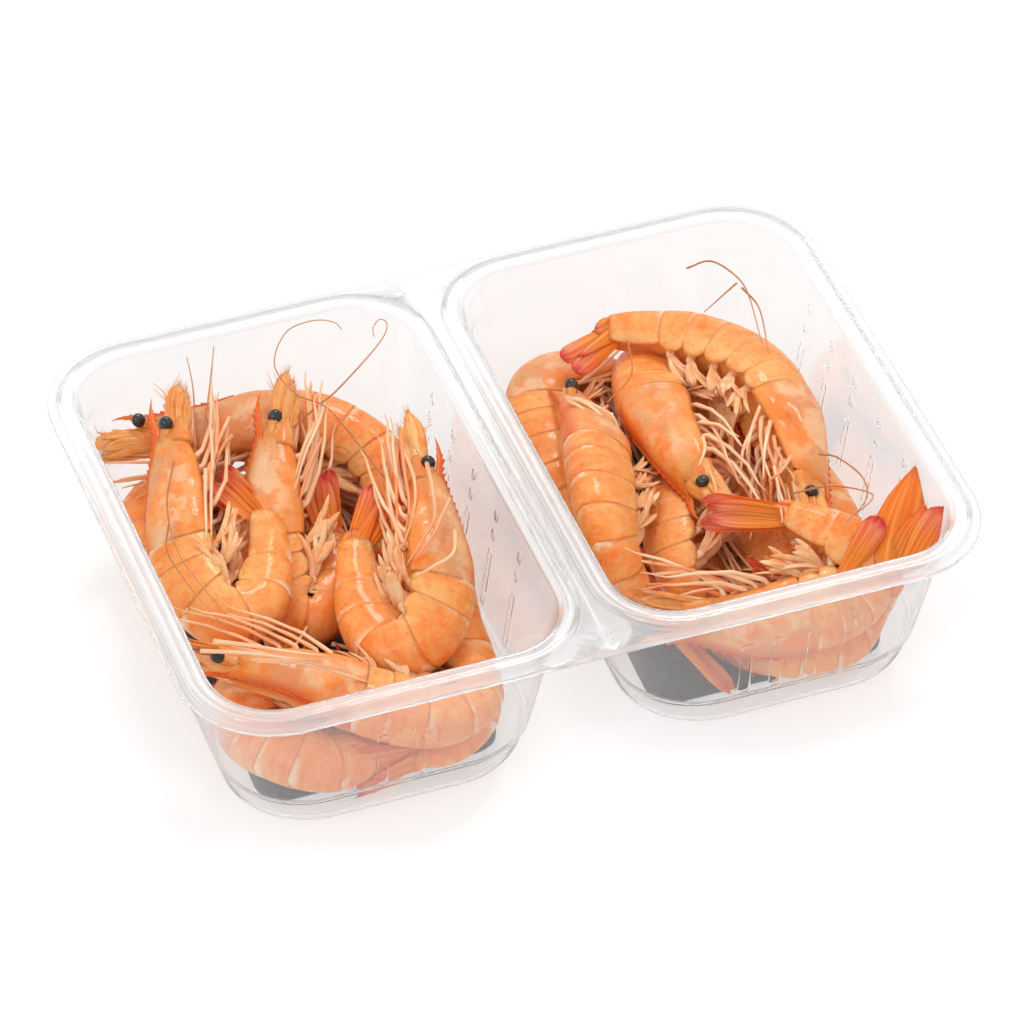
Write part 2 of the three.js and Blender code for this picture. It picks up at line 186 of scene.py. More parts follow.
# Each shrimp lies as its solid does: points from the front of its head shell to its tail's root.
# "side" is the way its left flank faces at the head, and "side_aft" at the tail.
SHRIMPS = {
    "shrimp_left_1": dict(
        height=16.5, fan=(-6, 13, 3), fan_side=(0.75, 0.2, 0.5), spread=1.6, blade=(17, 4.2), blush=0.6,
        side=(0.25, 0.35, -1), eyes=(0.7, 1.3, 4.2),
        points=[(-66, 42, 34), (-71, 24, 31), (-75, 4, 27), (-72, -8, 25), (-64, -9, 25), (-57, 2, 28),
                (-54, 14, 30)]),
    "shrimp_left_2": dict(
        height=16, fan=(1, 13, 7), fan_side=(0.9, 0, 0.4), spread=1.8, blade=(18, 4.6), blush=1,
        side=(0.2, 0.5, -1), eyes=(3.3, 0.7, 3.4),
        points=[(-44, 34, 34), (-49, 22, 30), (-53, 10, 23), (-54, -1, 18), (-49, -7, 16), (-43, -1, 18),
                (-39, 11, 21)]),
    "shrimp_left_3": dict(
        height=17, fan=(11, 12, 4), fan_side=(0.8, -0.5, -0.2), spread=1.8, blade=(18, 4.6), blush=1,
        side=(0.15, -0.45, 1), eyes=(0.8, 0.9, 3.6),
        points=[(-18, 9, 35), (-21, -6, 33), (-25, -22, 28), (-32, -30, 24), (-39, -28, 22),
                (-41, -17, 24), (-37, 0, 28)]),
    "shrimp_left_4": dict(
        height=16.5, fan=(-3, -4, -16), spread=3, side=(0.1, -0.6, 0.8), side_aft=(-0.6, -0.2, 0.8),
        eyes=(2.5, 3.2, 3.4), far_eye=-1, beak=8, beak_rise=0,
        points=[(-69, 52, 27), (-56, 50, 26), (-41, 48, 26), (-30, 42, 26), (-22, 31, 24), (-22, 18, 21),
                (-27, 8, 15)]),
    "shrimp_left_5": dict(
        height=16.5, fan=(-14, 6, 4), spread=3, side=(0, -0.3, -1), side_aft=(0, 0.2, -1),
        eyes=(3.1, 2.7, 3.4), far_eye=1, swim_reach=0.7,
        points=[(-76, -29, 28), (-62, -35, 25), (-48, -44, 21), (-36, -49, 18), (-25, -45, 16),
                (-22, -35, 15), (-26, -27, 15)]),
    "shrimp_left_6": dict(
        height=16, fan=(14, 4, 3), spread=3, side=(0, 0, -1),
        points=[(-46, 34, 11), (-55, 46, 11), (-66, 47, 12), (-74, 38, 13), (-75, 24, 13), (-72, 12, 12),
                (-64, 6, 11)]),
    "shrimp_left_7": dict(
        height=15.5, fan=(0, 14, 2), spread=3, side=(0, 0, -1),
        points=[(-63, -12, 10), (-72, -21, 10), (-73, -34, 11), (-65, -45, 11), (-57, -48, 10),
                (-49, -43, 10), (-45, -31, 10)]),
    "shrimp_left_8": dict(
        height=16.5, fan=(-12, 0, -2), spread=4, blade=(16, 7), side=(0, 0, 1),
        points=[(-33, 44, 11), (-22, 33, 11), (-17, 18, 11), (-17, 2, 11), (-20, -14, 11), (-21, -32, 10.5),
                (-25, -45, 10), (-33, -51, 9.5), (-41, -50, 9)]),
    "shrimp_right_1": dict(
        height=17, fan=(6, -8, -3), spread=3, side=(0, 0, -1),
        points=[(46, 47, 15), (36, 50, 17), (27, 48, 18), (21, 38, 18), (18, 22, 17), (20, 6, 15),
                (25, -6, 12)]),
    "shrimp_right_2": dict(
        height=18.5, fan=(-14, -6, -1), fan_side=(0.5, -0.7, -0.5), spread=0.9, blade=(16, 4.8), blush=0.7,
        side=(-0.35, 0.2, -0.9), side_aft=(0, 0.5, -0.9), eyes=(2, -1.2, 3.6),
        points=[(65.5, -18.5, 27), (69, 2, 29), (69, 17, 30), (66, 28, 30), (59, 38, 30), (50, 45, 30),
                (42, 48, 30)]),
    "shrimp_right_3": dict(
        height=16.5, fan=(12, -20.5, -10.5), spread=0.25, blade=(26.5, 3.4), blush=0.1,
        side=(-0.65, 0.1, -0.75),
        eyes=(0.6, 2.2, 4), beak=4, beak_rise=-0.25, beak_root=0.1,
        points=[(27, 34, 23), (26, 18, 28), (21, 0, 33), (17.5, -14, 33), (16.5, -23, 30), (19, -29, 23),
                (23, -31, 15)]),
    "shrimp_right_4": dict(
        height=17, fan=(-2, -12, 3), spread=3, side=(-0.4, -0.2, 0.9), side_aft=(0.6, 0, 0.8),
        eyes=(1.8, -0.3, 3.5), beak=8,
        points=[(43.5, -9.5, 29), (43, 12, 28), (45, 29, 24), (50, 43, 19), (59, 47, 11), (68, 41, 10),
                (69, 32, 10)]),
    "shrimp_right_5": dict(
        height=15.5, fan=(6, -14, -4), spread=2, side=(0.3, 0.2, -0.9),
        points=[(51, 26, 11), (47, 15, 14), (41, 2, 18), (36, -9, 20), (33, -19, 20), (32, -28, 17),
                (34, -34, 12)]),
    "shrimp_right_6": dict(
        height=18, fan=(-17, 6, 2), fan_side=(0.2, 0.6, 0.75), spread=1, blade=(21, 4.4), blush=0.5,
        side=(0, 0.6, -0.8),
        points=[(29, -42, 21), (41, -47, 20), (54, -48, 20), (65, -46, 21), (69, -42, 26), (63, -36, 31),
                (56, -29, 33)]),
    "shrimp_right_7": dict(
        height=15.5, fan=(-4, -5, 9), spread=3, side=(-0.7, 0.1, 0.7),
        points=[(60, 22, 13), (58, 10, 12), (57, -2, 11.5), (57, -14, 12), (56, -26, 13.5), (52, -35, 15)]),
    "shrimp_right_8": dict(
        height=14.5, fan=(6, 2, 16), fan_side=(0.9, -0.4, -0.2), spread=6, side=(0, 0.2, -1),
        side_aft=(1, 0.3, 0.2),
        placed_blades=[((72, -50, 28), (85.5, -32.5, 41.5), 12.5, 0, POINTED_OUTLINE),
                       ((60.5, -49, 28), (73.5, -41, 37), 6, 1, OUTER_OUTLINE),
                       ((74, -50, 27), (84, -42, 38), 8, 0, POINTED_OUTLINE),
                       ((75, -51.5, 28), (86.5, -47.5, 41.5), 7, 0.6, POINTED_OUTLINE)],
        points=[(40, -22, 9), (39, -33, 9), (44, -43, 10), (54, -48, 10), (65, -47, 10), (73, -42, 14),
                (74, -44, 19), (73, -49, 24)]),
    "shrimp_right_9": dict(
        height=13.5, fan=(-8, 8, 0), spread=3, side=(0, 0, -1),
        points=[(73, -26, 15), (74, -14, 12.5), (75, -2, 11), (75, 9, 10.5), (71, 19, 10)]),
}

# Long feelers that show, by shrimp: the points that each runs through
FEELERS = {
    "shrimp_left_2": [
        [(-42, 33, 36), (-34, 34, 41), (-28, 37, 42), (-15, 47, 43.5), (-11, 52.5, 43.8), (-12, 55, 43.8),
         (-14.5, 52.5, 43.6), (-15, 50, 43.4)],
        [(-27, 5, 39), (-30, 20, 41), (-33, 31, 42.5), (-38.5, 37, 43.5), (-40, 47.5, 44), (-34, 57.5, 44),
         (-27, 59.5, 44), (-22.5, 57.5, 44), (-21.5, 54.5, 44)],
    ],
    "shrimp_left_1": [
        [(-62.5, 34, 37), (-57.5, 43, 42), (-51, 58.5, 44)],
        [(-63.5, 34, 37), (-60.5, 44, 40), (-59, 50, 42), (-58, 57, 44)],
        [(-70, 30, 38), (-76, 16, 38), (-78, 1, 37), (-75.5, -11, 35), (-73, -18, 33)],
        [(-77, 12, 36), (-80, 3, 36), (-78, -11, 35), (-75, -20, 33)],
    ],
    "shrimp_right_2": [
        [(68.5, -17, 37.5), (71.5, -20.5, 38.5), (74.5, -28, 38), (73, -34.5, 37.5), (67, -40, 38),
         (64, -42.5, 38)],
        [(56.5, -30, 40), (66.5, -28.5, 38), (74, -32, 37), (74, -35, 37), (65, -41, 38)],
    ],
    "shrimp_right_4": [
        [(62, 50, 42), (68, 50, 42.5), (71.5, 43, 42.5), (72, 36, 42), (69.5, 21, 40)],
        [(71.5, 39, 42), (73, 31.5, 41), (70, 18, 39)],
        [(71, 41, 42), (61, 36, 40)],
    ],
    "shrimp_right_3": [[(41, 33, 39.5), (38, 23, 38), (31, 20, 34)]],
}
FEELER_HALF = 0.25

# Legs that lie free of their bundle, by shrimp: the points that each runs through
FREE_LEGS = {
    "shrimp_left_1": [
        [(-56, 30, 18), (-57, 22, 17), (-58, 14, 16)], [(-54, 29, 16), (-55, 21, 15), (-56, 13, 14)],
        [(-54, 38, 40), (-58, 33, 39), (-61, 29, 37)], [(-55, 33, 39), (-58, 31, 38), (-61, 28, 36)],
        [(-64, 25, 38), (-67, 16, 37), (-70, 6, 34)], [(-63, 24, 37), (-66, 15, 36), (-69, 6, 33)],
    ],
    "shrimp_left_2": [
        [(-32, 36, 40), (-36, 28, 41), (-42, 20, 40), (-47, 13, 36)],
        [(-36, 29, 41), (-42, 21, 41), (-46, 15, 38)],
        [(-36, 26, 38), (-41, 19, 38), (-46, 12, 34)],
        [(-50, 4, 16.5), (-47.5, 1.6, 15.5), (-45, -1, 15)], [(-50, 6, 15), (-47.3, 3, 14.5), (-45, 0, 14)],
        [(-49, 7, 13.5), (-46.6, 4.2, 13), (-44, 2, 12.5)],
        [(-52, -1, 21.5), (-49.4, -4.3, 21.2), (-46, -6, 21)],
        [(-51, -3, 22), (-49, -4, 21.5), (-47, -2, 21)],
        [(-54, 2, 22), (-50.5, -1, 23), (-47, -3, 22)],
        [(-50, -18, 15), (-45, -20, 14), (-40, -24, 13), (-35, -27, 12)],
        [(-49, -20, 13), (-44, -23, 12), (-38, -27, 11)], [(-48, -15, 14), (-43, -18, 13), (-38, -22, 12)],
        [(-33, 28, 16), (-33, 21, 16), (-34, 13, 17)], [(-31, 27, 14), (-31, 20, 14), (-32, 12, 15)],
    ],
    "shrimp_left_3": [
        [(-18, 5, 42.5), (-20, -5, 43), (-22.5, -13, 42.5), (-27, -17, 40), (-31, -18, 35)],
        [(-17, -8, 42.5), (-21.5, -14, 42.5), (-24.5, -17.5, 41.5), (-29.5, -19, 37)],
        [(-19, -17, 41), (-22, -24, 41), (-27, -25, 39.5), (-31, -22.5, 35)],
        [(-20, 17, 42), (-23, 6, 41), (-25, -3, 39), (-29, -11, 36)],
        [(-22, 14, 41), (-26, 3, 40), (-29, -6, 38), (-32, -13, 35)],
        [(-21, 12, 41.5), (-22, 2, 41), (-25, -6, 39), (-30, -13, 36)],
    ],
    "shrimp_left_5": [
        [(-83, -30, 36), (-74, -35, 37), (-65, -39, 36), (-56, -40, 34)],
        [(-80, -30, 38), (-73, -34, 38), (-65, -38, 37), (-57, -40, 35)],
        [(-78, -30, 37), (-71, -36, 37), (-63, -39, 35), (-55, -42, 32)],
        [(-72, -35, 34), (-63, -39, 34), (-55, -42, 31), (-49, -44, 28)],
    ],
    "shrimp_right_2": [
        [(63, 5, 36), (58, -2, 36), (54, -9, 35)], [(68, 1, 38), (69, -2, 38), (69, -5, 37)],
        [(62, -16, 38), (58, -20, 38), (55, -20, 36)], [(63, -1, 36), (58, -10, 36), (55, -17, 34)],
        [(59, -1, 36), (54, -7, 35), (51, -13, 32)],
    ],
    "shrimp_right_3": [
        [(23, 26, 33), (26, 22, 34), (28, 17, 34), (30, 13, 32)],
        [(23, 25, 33), (25, 20, 34), (26, 15, 34), (27, 12, 32)],
        [(25, 25, 33), (28, 20, 34), (31, 16, 33), (31, 11, 31)],
        [(40, 44, 17), (39, 34, 15), (38, 23, 14), (36.5, 8, 13)],
        [(42, 44, 18), (39.5, 40, 16), (37, 34, 15), (36, 24, 14)],
        [(36, 44, 18), (38.5, 39.5, 16.5), (40, 33, 15), (41, 24, 14)],
        [(37.5, 42, 18), (37, 33, 16), (36.5, 22, 15), (35, 8, 14)],
        [(41, 40, 16), (40, 30, 14), (39.5, 20, 13), (38.5, 10, 12)],
    ],
    "shrimp_right_7": [
        [(47, -4, 17), (48, -13, 15), (49, -22, 15), (50, -30, 16)],
        [(46, -8, 15), (47, -16, 14), (47, -25, 15)],
    ],
    "shrimp_right_4": [
        [(46, -2, 37), (45, -6, 37), (42, -10, 36)], [(45, -9, 33), (44, -15, 34), (43, -19, 33)],
    ],
}
FREE_LEG_HALF = 0.55


def unit(vectors):
    vectors = np.asarray(vectors, float)
    return vectors / np.linalg.norm(vectors, axis=-1, keepdims=True)


def smooth(value, low, high):
    share = np.clip((value - low) / (high - low), 0, 1)
    return share * share * (3 - 2 * share)


def profile(places, knots, values):
    """Values along a smooth line through the knots."""
    knots, values = np.asarray(knots, float), np.asarray(values, float)
    slopes = np.gradient(values, knots)
    places = np.clip(places, knots[0], knots[-1])
    k = np.clip(np.searchsorted(knots, places, side="right") - 1, 0, len(knots) - 2)
    gap = knots[k + 1] - knots[k]
    t = (places - knots[k]) / gap
    low = values[k] * (1 + 2 * t) * (1 - t) ** 2 + slopes[k] * gap * t * (1 - t) ** 2
    return low + values[k + 1] * t * t * (3 - 2 * t) + slopes[k + 1] * gap * t * t * (t - 1)


def through(points, steps=24):
    """A smooth path through the points, closely spaced."""
    points = np.asarray(points, float)
    ends = [2 * points[:1] - points[1:2], points, 2 * points[-1:] - points[-2:-1]]
    points = np.concatenate(ends)
    t = np.linspace(0, 1, steps, endpoint=False)[:, None]
    path = []
    for a, b, c, d in zip(points, points[1:], points[2:], points[3:]):
        cubic = (3 * b - 3 * c + d - a) * t ** 3
        path.append((2 * b + (c - a) * t + (2 * a - 5 * b + 4 * c - d) * t ** 2 + cubic) / 2)
    return np.concatenate([*path, points[-2:-1]])


def spaced(path, count):
    """The same path with points evenly spaced along it."""
    steps = np.linalg.norm(np.diff(path, axis=0), axis=1)
    length = np.concatenate([[0], np.cumsum(steps)])
    at = np.linspace(0, length[-1], count)
    return np.stack([np.interp(at, length, path[:, k]) for k in range(3)], 1)


def ripple(points, rng, size, waves=6):
    """A gentle unevenness from -1 to 1 over the points, with features of about that size."""
    total = np.zeros(points.shape[:-1])
    for _ in range(waves):
        way = unit(rng.normal(size=3)) * 2 * math.pi / (size * rng.uniform(0.8, 1.6))
        total += np.sin(points @ way + rng.uniform(0, 2 * math.pi))
    return total / waves


class Piece:
    """Collects closed skins for one object, with how each spot lies on its own part."""

    def __init__(self, name, finishes):
        self.name, self.finishes = name, finishes
        self.points, self.quads, self.triangles = [], [], []
        self.quad_finish, self.triangle_finish = [], []
        self.place, self.tone = [], []
        self.count = 0

    def add(self, points, quads, triangles, finish, place, tone):
        slot = self.finishes.index(finish)
        quads = np.asarray(quads, int).reshape(-1, 4)
        triangles = np.asarray(triangles, int).reshape(-1, 3)
        self.points.append(points)
        self.quads.append(quads + self.count)
        self.triangles.append(triangles + self.count)
        self.quad_finish.append(np.full(len(quads), slot))
        self.triangle_finish.append(np.full(len(triangles), slot))
        self.place.append(np.broadcast_to(place, points.shape))
        self.tone.append(np.broadcast_to(tone, len(points)))
        self.count += len(points)

    def skin(self, rings, finish, place, tone=0.0):
        """Joins rings of points, n by m, into one closed skin that faces outwards."""
        n, m = rings.shape[:2]
        index = np.arange(n * m).reshape(n, m)
        after = np.roll(index, -1, axis=1)
        quads = np.stack([index[:-1], after[:-1], after[1:], index[1:]], -1).reshape(-1, 4)
        ends = np.stack([rings[0].mean(0), rings[-1].mean(0)])
        points = np.concatenate([rings.reshape(-1, 3), ends])
        first, last = n * m, n * m + 1
        caps = [np.stack([np.full(m, first), after[0], index[0]], -1)]
        caps.append(np.stack([np.full(m, last), index[-1], after[-1]], -1))
        triangles = np.concatenate(caps)
        place = np.broadcast_to(place, rings.shape)
        place_ends = np.stack([place[0].mean(0), place[-1].mean(0)])
        place = np.concatenate([place.reshape(-1, 3), place_ends])
        tone = np.broadcast_to(tone, (n, m))
        tone = np.concatenate([tone.ravel(), [tone[0, 0], tone[-1, 0]]])
        middle = points.mean(0)
        a, b, c, d = (points[quads[:, k]] - middle for k in range(4))
        if (np.cross(b - d, c - a) * (a + b + c + d)).sum() < 0:
            quads, triangles = quads[:, ::-1], triangles[:, ::-1]
        self.add(points, quads, triangles, finish, place, tone)

    def make(self):
        mesh = bpy.data.meshes.new(self.name)
        points = np.concatenate(self.points) * MM
        quads, triangles = np.concatenate(self.quads), np.concatenate(self.triangles)
        corners = np.concatenate([quads.ravel(), triangles.ravel()])
        starts = np.concatenate([
            np.arange(len(quads)) * 4, len(quads) * 4 + np.arange(len(triangles)) * 3])
        mesh.vertices.add(len(points))
        mesh.vertices.foreach_set("co", points.astype(np.float32).ravel())
        mesh.loops.add(len(corners))
        mesh.loops.foreach_set("vertex_index", corners.astype(np.int32))
        mesh.polygons.add(len(starts))
        mesh.polygons.foreach_set("loop_start", starts.astype(np.int32))
        finish = np.concatenate(self.quad_finish + self.triangle_finish)
        mesh.polygons.foreach_set("material_index", finish.astype(np.int32))
        mesh.polygons.foreach_set("use_smooth", np.ones(len(starts), bool))
        place = mesh.attributes.new("place", "FLOAT_VECTOR", "POINT")
        place.data.foreach_set("vector", np.concatenate(self.place).astype(np.float32).ravel())
        tone = mesh.attributes.new("tone", "FLOAT", "POINT")
        tone.data.foreach_set("value", np.concatenate(self.tone).astype(np.float32))
        mesh.update(calc_edges=True)
        mesh.validate()
        for finish in self.finishes:
            mesh.materials.append(bpy.data.materials[finish])
        piece = bpy.data.objects.new(self.name, mesh)
        bpy.context.scene.collection.objects.link(piece)
        return piece


def sweep(piece, finish, path, wide, thick, across, tone=0.0, sides=8, droop=0.0, ribs=0.0):
    """A closed strip along a path: wide to each side, thick up and down, its edges drooping."""
    path = np.asarray(path, float)
    along = unit(np.gradient(path, axis=0))
    across = np.broadcast_to(np.asarray(across, float), path.shape)
    across = unit(across - (across * along).sum(1)[:, None] * along)
    up = np.cross(along, across)
    plus, minus = wide if isinstance(wide, tuple) else (wide, wide)
    angle = (np.arange(sides) + 0.5) / sides * 2 * math.pi
    side, lift = np.cos(angle), np.sin(angle)
    plus, minus = np.broadcast_to(plus, len(path)), np.broadcast_to(minus, len(path))
    thick = np.broadcast_to(thick, len(path))
    out = np.where(side > 0, plus[:, None] * side, minus[:, None] * side)
    width = (plus + minus)[:, None] / 2
    rise = thick[:, None] * lift - droop * width * side ** 2
    rise += ribs * np.cos(side * 5 * math.pi) * np.abs(lift) * np.minimum(width, 1)
    rings = path[:, None] + across[:, None] * out[..., None] + up[:, None] * rise[..., None]
    share = np.linspace(0, 1, len(path))[:, None] + 0 * side
    place = np.stack([share, side + 0 * share, np.where(lift > 0, 1.0, 0.0) + 0 * share], -1)
    piece.skin(rings, finish, place, tone)


def needles(piece, finish, roots, ways, lengths, radius, tone=0.0):
    """Fine hairs, each a thin spike with three sides."""
    count = len(roots)
    ways = unit(ways)
    side = unit(np.cross(ways, [0.31, 0.52, 0.79]))
    up = np.cross(ways, side)
    turn = np.arange(3) * 2 * math.pi / 3
    ring = side[:, None] * np.cos(turn)[:, None] + up[:, None] * np.sin(turn)[:, None]
    base = roots[:, None] + ring * radius
    tips = roots + ways * np.broadcast_to(lengths, count)[:, None]
    points = np.concatenate([base, tips[:, None]], 1).reshape(-1, 3)
    first = np.arange(count)[:, None] * 4
    faces = [first + np.array(corner) for corner in ((0, 1, 3), (1, 2, 3), (2, 0, 3), (0, 2, 1))]
    place = np.tile([[0.0, 0, 0], [0, 0, 0], [0, 0, 0], [1, 0, 0]], (count, 1))
    piece.add(points, [], np.concatenate(faces), finish, place, tone)


def colour(code):
    """A colour from its screen code, as the light that it stands for."""
    parts = [int(code[k:k + 2], 16) / 255 for k in (0, 2, 4)]
    return (*[part / 12.92 if part < 0.04045 else ((part + 0.055) / 1.055) ** 2.4 for part in parts], 1)


class Nodes:
    """Adds nodes to one tree. An input may be a number, a colour code or another node's socket."""

    def __init__(self, tree):
        self.tree = tree

    def add(self, kind, inputs=None, **settings):
        node = self.tree.nodes.new("ShaderNode" + kind)
        for key, value in settings.items():
            setattr(node, key, value)
        for key, value in (inputs or {}).items():
            self.put(node.inputs[key], value)
        return node

    def put(self, socket, value):
        if isinstance(value, bpy.types.NodeSocket):
            self.tree.links.new(value, socket)
        else:
            socket.default_value = colour(value) if isinstance(value, str) else value

    def sum(self, operation, *values):
        node = self.add("Math", operation=operation)
        for socket, value in zip(node.inputs, values):
            self.put(socket, value)
        return node.outputs[0]

    def blend(self, share, low, high):
        return self.add("Mix", {0: share, 6: low, 7: high}, data_type="RGBA").outputs[2]

    def fade(self, value, low, high, to_low=0.0, to_high=1.0):
        inputs = {0: value, 1: low, 2: high, 3: to_low, 4: to_high}
        return self.add("MapRange", inputs, interpolation_type="SMOOTHSTEP").outputs[0]

    def effect(self, name, **values):
        node = self.add("Group", node_tree=bpy.data.node_groups[name])
        for key, value in values.items():
            self.put(node.inputs[key.replace("_", " ").capitalize()], value)
        return node

    def place(self):
        """Along, across and third measure of the spot on its part, then the part's own tone."""
        spot = self.add("Attribute", attribute_name="place")
        parts = self.add("SeparateXYZ", {0: spot.outputs["Vector"]})
        tone = self.add("Attribute", attribute_name="tone")
        return [*parts.outputs[:3], tone.outputs["Fac"]]


def new_effect(name, inputs, output):
    """An empty group with number inputs, each with its usual value, and one number output."""
    tree = bpy.data.node_groups.new(name, "ShaderNodeTree")
    for label, usual in inputs.items():
        socket = tree.interface.new_socket(label, in_out="INPUT", socket_type="NodeSocketFloat")
        socket.default_value = usual
    tree.interface.new_socket(output, in_out="OUTPUT", socket_type="NodeSocketFloat")
    start, end = tree.nodes.new("NodeGroupInput"), tree.nodes.new("NodeGroupOutput")
    return Nodes(tree), start.outputs, end.inputs[output]


def make_patches():
    """Soft patches over the whole object, of a size and a share of the surface."""
    nodes, given, result = new_effect("patches", {"Scale": 100, "Cover": 0.5, "Edge": 0.15}, "Mask")
    spot = nodes.add("TexCoord").outputs["Object"]
    noise = nodes.add("TexNoise", {"Vector": spot, "Scale": given["Scale"], "Detail": 3, "Roughness": 0.6})
    level = nodes.sum("SUBTRACT", 1, given["Cover"])
    low = nodes.sum("SUBTRACT", level, given["Edge"])
    high = nodes.sum("ADD", level, given["Edge"])
    spread = nodes.fade(noise.outputs[0], 0.25, 0.75)
    nodes.put(result, nodes.fade(spread, low, high))


def make_strands():
    """Streaks that run along a part, many across it and few along it."""
    nodes, given, result = new_effect("strands", {"Across": 6, "Along": 1.5, "Edge": 0.2}, "Mask")
    along, across, _, tone = nodes.place()
    spot = nodes.add("CombineXYZ", {
        0: nodes.sum("MULTIPLY", along, given["Along"]),
        1: nodes.sum("MULTIPLY", across, given["Across"]),
        2: nodes.sum("MULTIPLY", tone, 37),
    })
    noise = nodes.add("TexNoise", {"Vector": spot.outputs[0], "Scale": 1, "Detail": 2})
    low = nodes.sum("SUBTRACT", 0.5, given["Edge"])
    high = nodes.sum("ADD", 0.5, given["Edge"])
    nodes.put(result, nodes.fade(noise.outputs[0], low, high))


def make_freckles():
    """Small dark specks, scattered in clumps."""
    nodes, given, result = new_effect("freckles", {"Scale": 900, "Cover": 0.3}, "Mask")
    spot = nodes.add("TexCoord").outputs["Object"]
    cells = nodes.add("TexVoronoi", {"Vector": spot, "Scale": given["Scale"]})
    speck = nodes.fade(cells.outputs["Distance"], 0.16, 0.34, 1, 0)
    clumps = nodes.effect("patches", scale=170, edge=0.12)
    nodes.put(clumps.inputs["Cover"], given["Cover"])
    nodes.put(result, nodes.sum("MULTIPLY", speck, clumps.outputs[0]))


def new_material(name):
    material = bpy.data.materials.new(name)
    material.use_nodes = True
    nodes = Nodes(material.node_tree)
    return nodes, material.node_tree.nodes["Principled BSDF"]


def finish_food(nodes, shader, tint, rough, bump, depth, flesh=0.35, coat=0.22):
    """Moist food: colour, gloss that changes over the surface, fine relief and light soaking in."""
    nodes.put(shader.inputs["Base Color"], tint)
    nodes.put(shader.inputs["Roughness"], rough)
    relief = nodes.add("Bump", {"Height": bump, "Distance": depth, "Strength": 0.6})
    nodes.put(shader.inputs["Normal"], relief.outputs[0])
    shader.inputs["Subsurface Weight"].default_value = flesh
    shader.inputs["Subsurface Radius"].default_value = (1.0, 0.3, 0.1)
    shader.inputs["Subsurface Scale"].default_value = 0.004
    shader.inputs["Coat Weight"].default_value = coat
    shader.inputs["Coat Roughness"].default_value = 0.09
    shader.inputs["Specular IOR Level"].default_value = 0.28
    shader.inputs["IOR"].default_value = 1.42


def shell_finish():
    """Cooked shell over pale flesh: mottled orange plates, pale joints, a clouded head, and painted orange
    shade on the underside.
    """
    nodes, shader = new_material("shell")
    along, down, share, tone = nodes.place()
    broad = nodes.effect("patches", scale=120, cover=0.5, edge=0.3).outputs[0]
    fine = nodes.effect("patches", scale=330, cover=0.45, edge=0.3).outputs[0]
    grain = nodes.effect("patches", scale=800, cover=0.5, edge=0.35).outputs[0]
    bands = nodes.effect("strands", across=1.3, along=55, edge=0.25).outputs[0]
    tint = nodes.blend(broad, "FB8224", "FFA450")
    tint = nodes.blend(nodes.sum("MULTIPLY", fine, 0.35), tint, "F4721A")
    tint = nodes.blend(nodes.sum("MULTIPLY", bands, 0.45), tint, "EE6A1A")
    stripes = nodes.effect("strands", across=2.2, along=26, edge=0.16).outputs[0]
    tint = nodes.blend(nodes.sum("MULTIPLY", stripes, 0.3), tint, "FFC27C")
    tint = nodes.blend(nodes.sum("MULTIPLY", grain, 0.2), tint, "FFC480")
    flank = nodes.sum("MULTIPLY", nodes.fade(down, 0.42, 0.95), nodes.fade(fine, 0, 1, 0.2, 0.7))
    tint = nodes.blend(flank, tint, "FFC682")
    wedge = nodes.effect("patches", scale=150, cover=0.5, edge=0.25).outputs[0]
    slant = nodes.sum("ADD", share, nodes.sum("MULTIPLY", down, 0.35))
    joint = nodes.sum("MULTIPLY", nodes.fade(slant, 0.3, 0.08), nodes.fade(wedge, 0, 1, 0.1, 0.8))
    tint = nodes.blend(joint, tint, "FFE2BE")
    lip = nodes.sum("MULTIPLY", nodes.fade(share, 0.92, 0.99), nodes.fade(broad, 0, 1, 0.15, 0.5))
    tint = nodes.blend(lip, tint, "DC6018")
    cloudy = nodes.effect("patches", scale=150, cover=0.5, edge=0.3).outputs[0]
    veins = nodes.effect("strands", across=8, along=9, edge=0.2).outputs[0]
    head = nodes.blend(cloudy, "F5A660", "F98A2E")
    head = nodes.blend(nodes.sum("MULTIPLY", veins, 0.35), head, "E87230")
    bruise = nodes.effect("patches", scale=70, cover=0.45, edge=0.25).outputs[0]
    bruise = nodes.sum("MULTIPLY", bruise, nodes.fade(down, 0.85, 0.5, 0, 0.5))
    head = nodes.blend(bruise, head, "CC9C78")
    window = nodes.sum("MULTIPLY", nodes.fade(down, 0.14, 0.34), nodes.fade(down, 0.9, 0.66))
    window = nodes.sum("MULTIPLY", window, nodes.fade(along, 0.06, 0.14))
    bare = nodes.effect("patches", scale=110, cover=0.42, edge=0.22).outputs[0]
    head = nodes.blend(nodes.sum("MULTIPLY", window, nodes.fade(bare, 0, 1, 0.05, 0.5)), head, "F6D4AA")
    head = nodes.blend(nodes.sum("MULTIPLY", nodes.fade(down, 0.2, 0.02), 0.8), head, "E65E16")
    head = nodes.blend(nodes.sum("MULTIPLY", nodes.fade(along, 0.07, 0.0), 0.6), head, "F67A26")
    head = nodes.blend(nodes.sum("MULTIPLY", nodes.fade(down, 0.84, 0.98), 0.6), head, "FB9A4C")
    tint = nodes.blend(nodes.fade(tone, 0.5, 0.4), tint, head)
    specks = nodes.effect("freckles", scale=900, cover=0.3).outputs[0]
    tint = nodes.blend(nodes.sum("MULTIPLY", specks, 0.35), tint, "CC5418")
    # The underside is a mid orange in place of its pale cream. This is painted shade for the deep orange
    # that lies under and between the shrimps.
    tint = nodes.blend(nodes.fade(down, 1.02, 1.2), tint, "F8A45C")
    rough = nodes.fade(fine, 0, 1, 0.38, 0.54)
    height = nodes.sum("ADD", fine, nodes.sum("ADD", grain, specks))
    finish_food(nodes, shader, tint, rough, height, 0.00012)


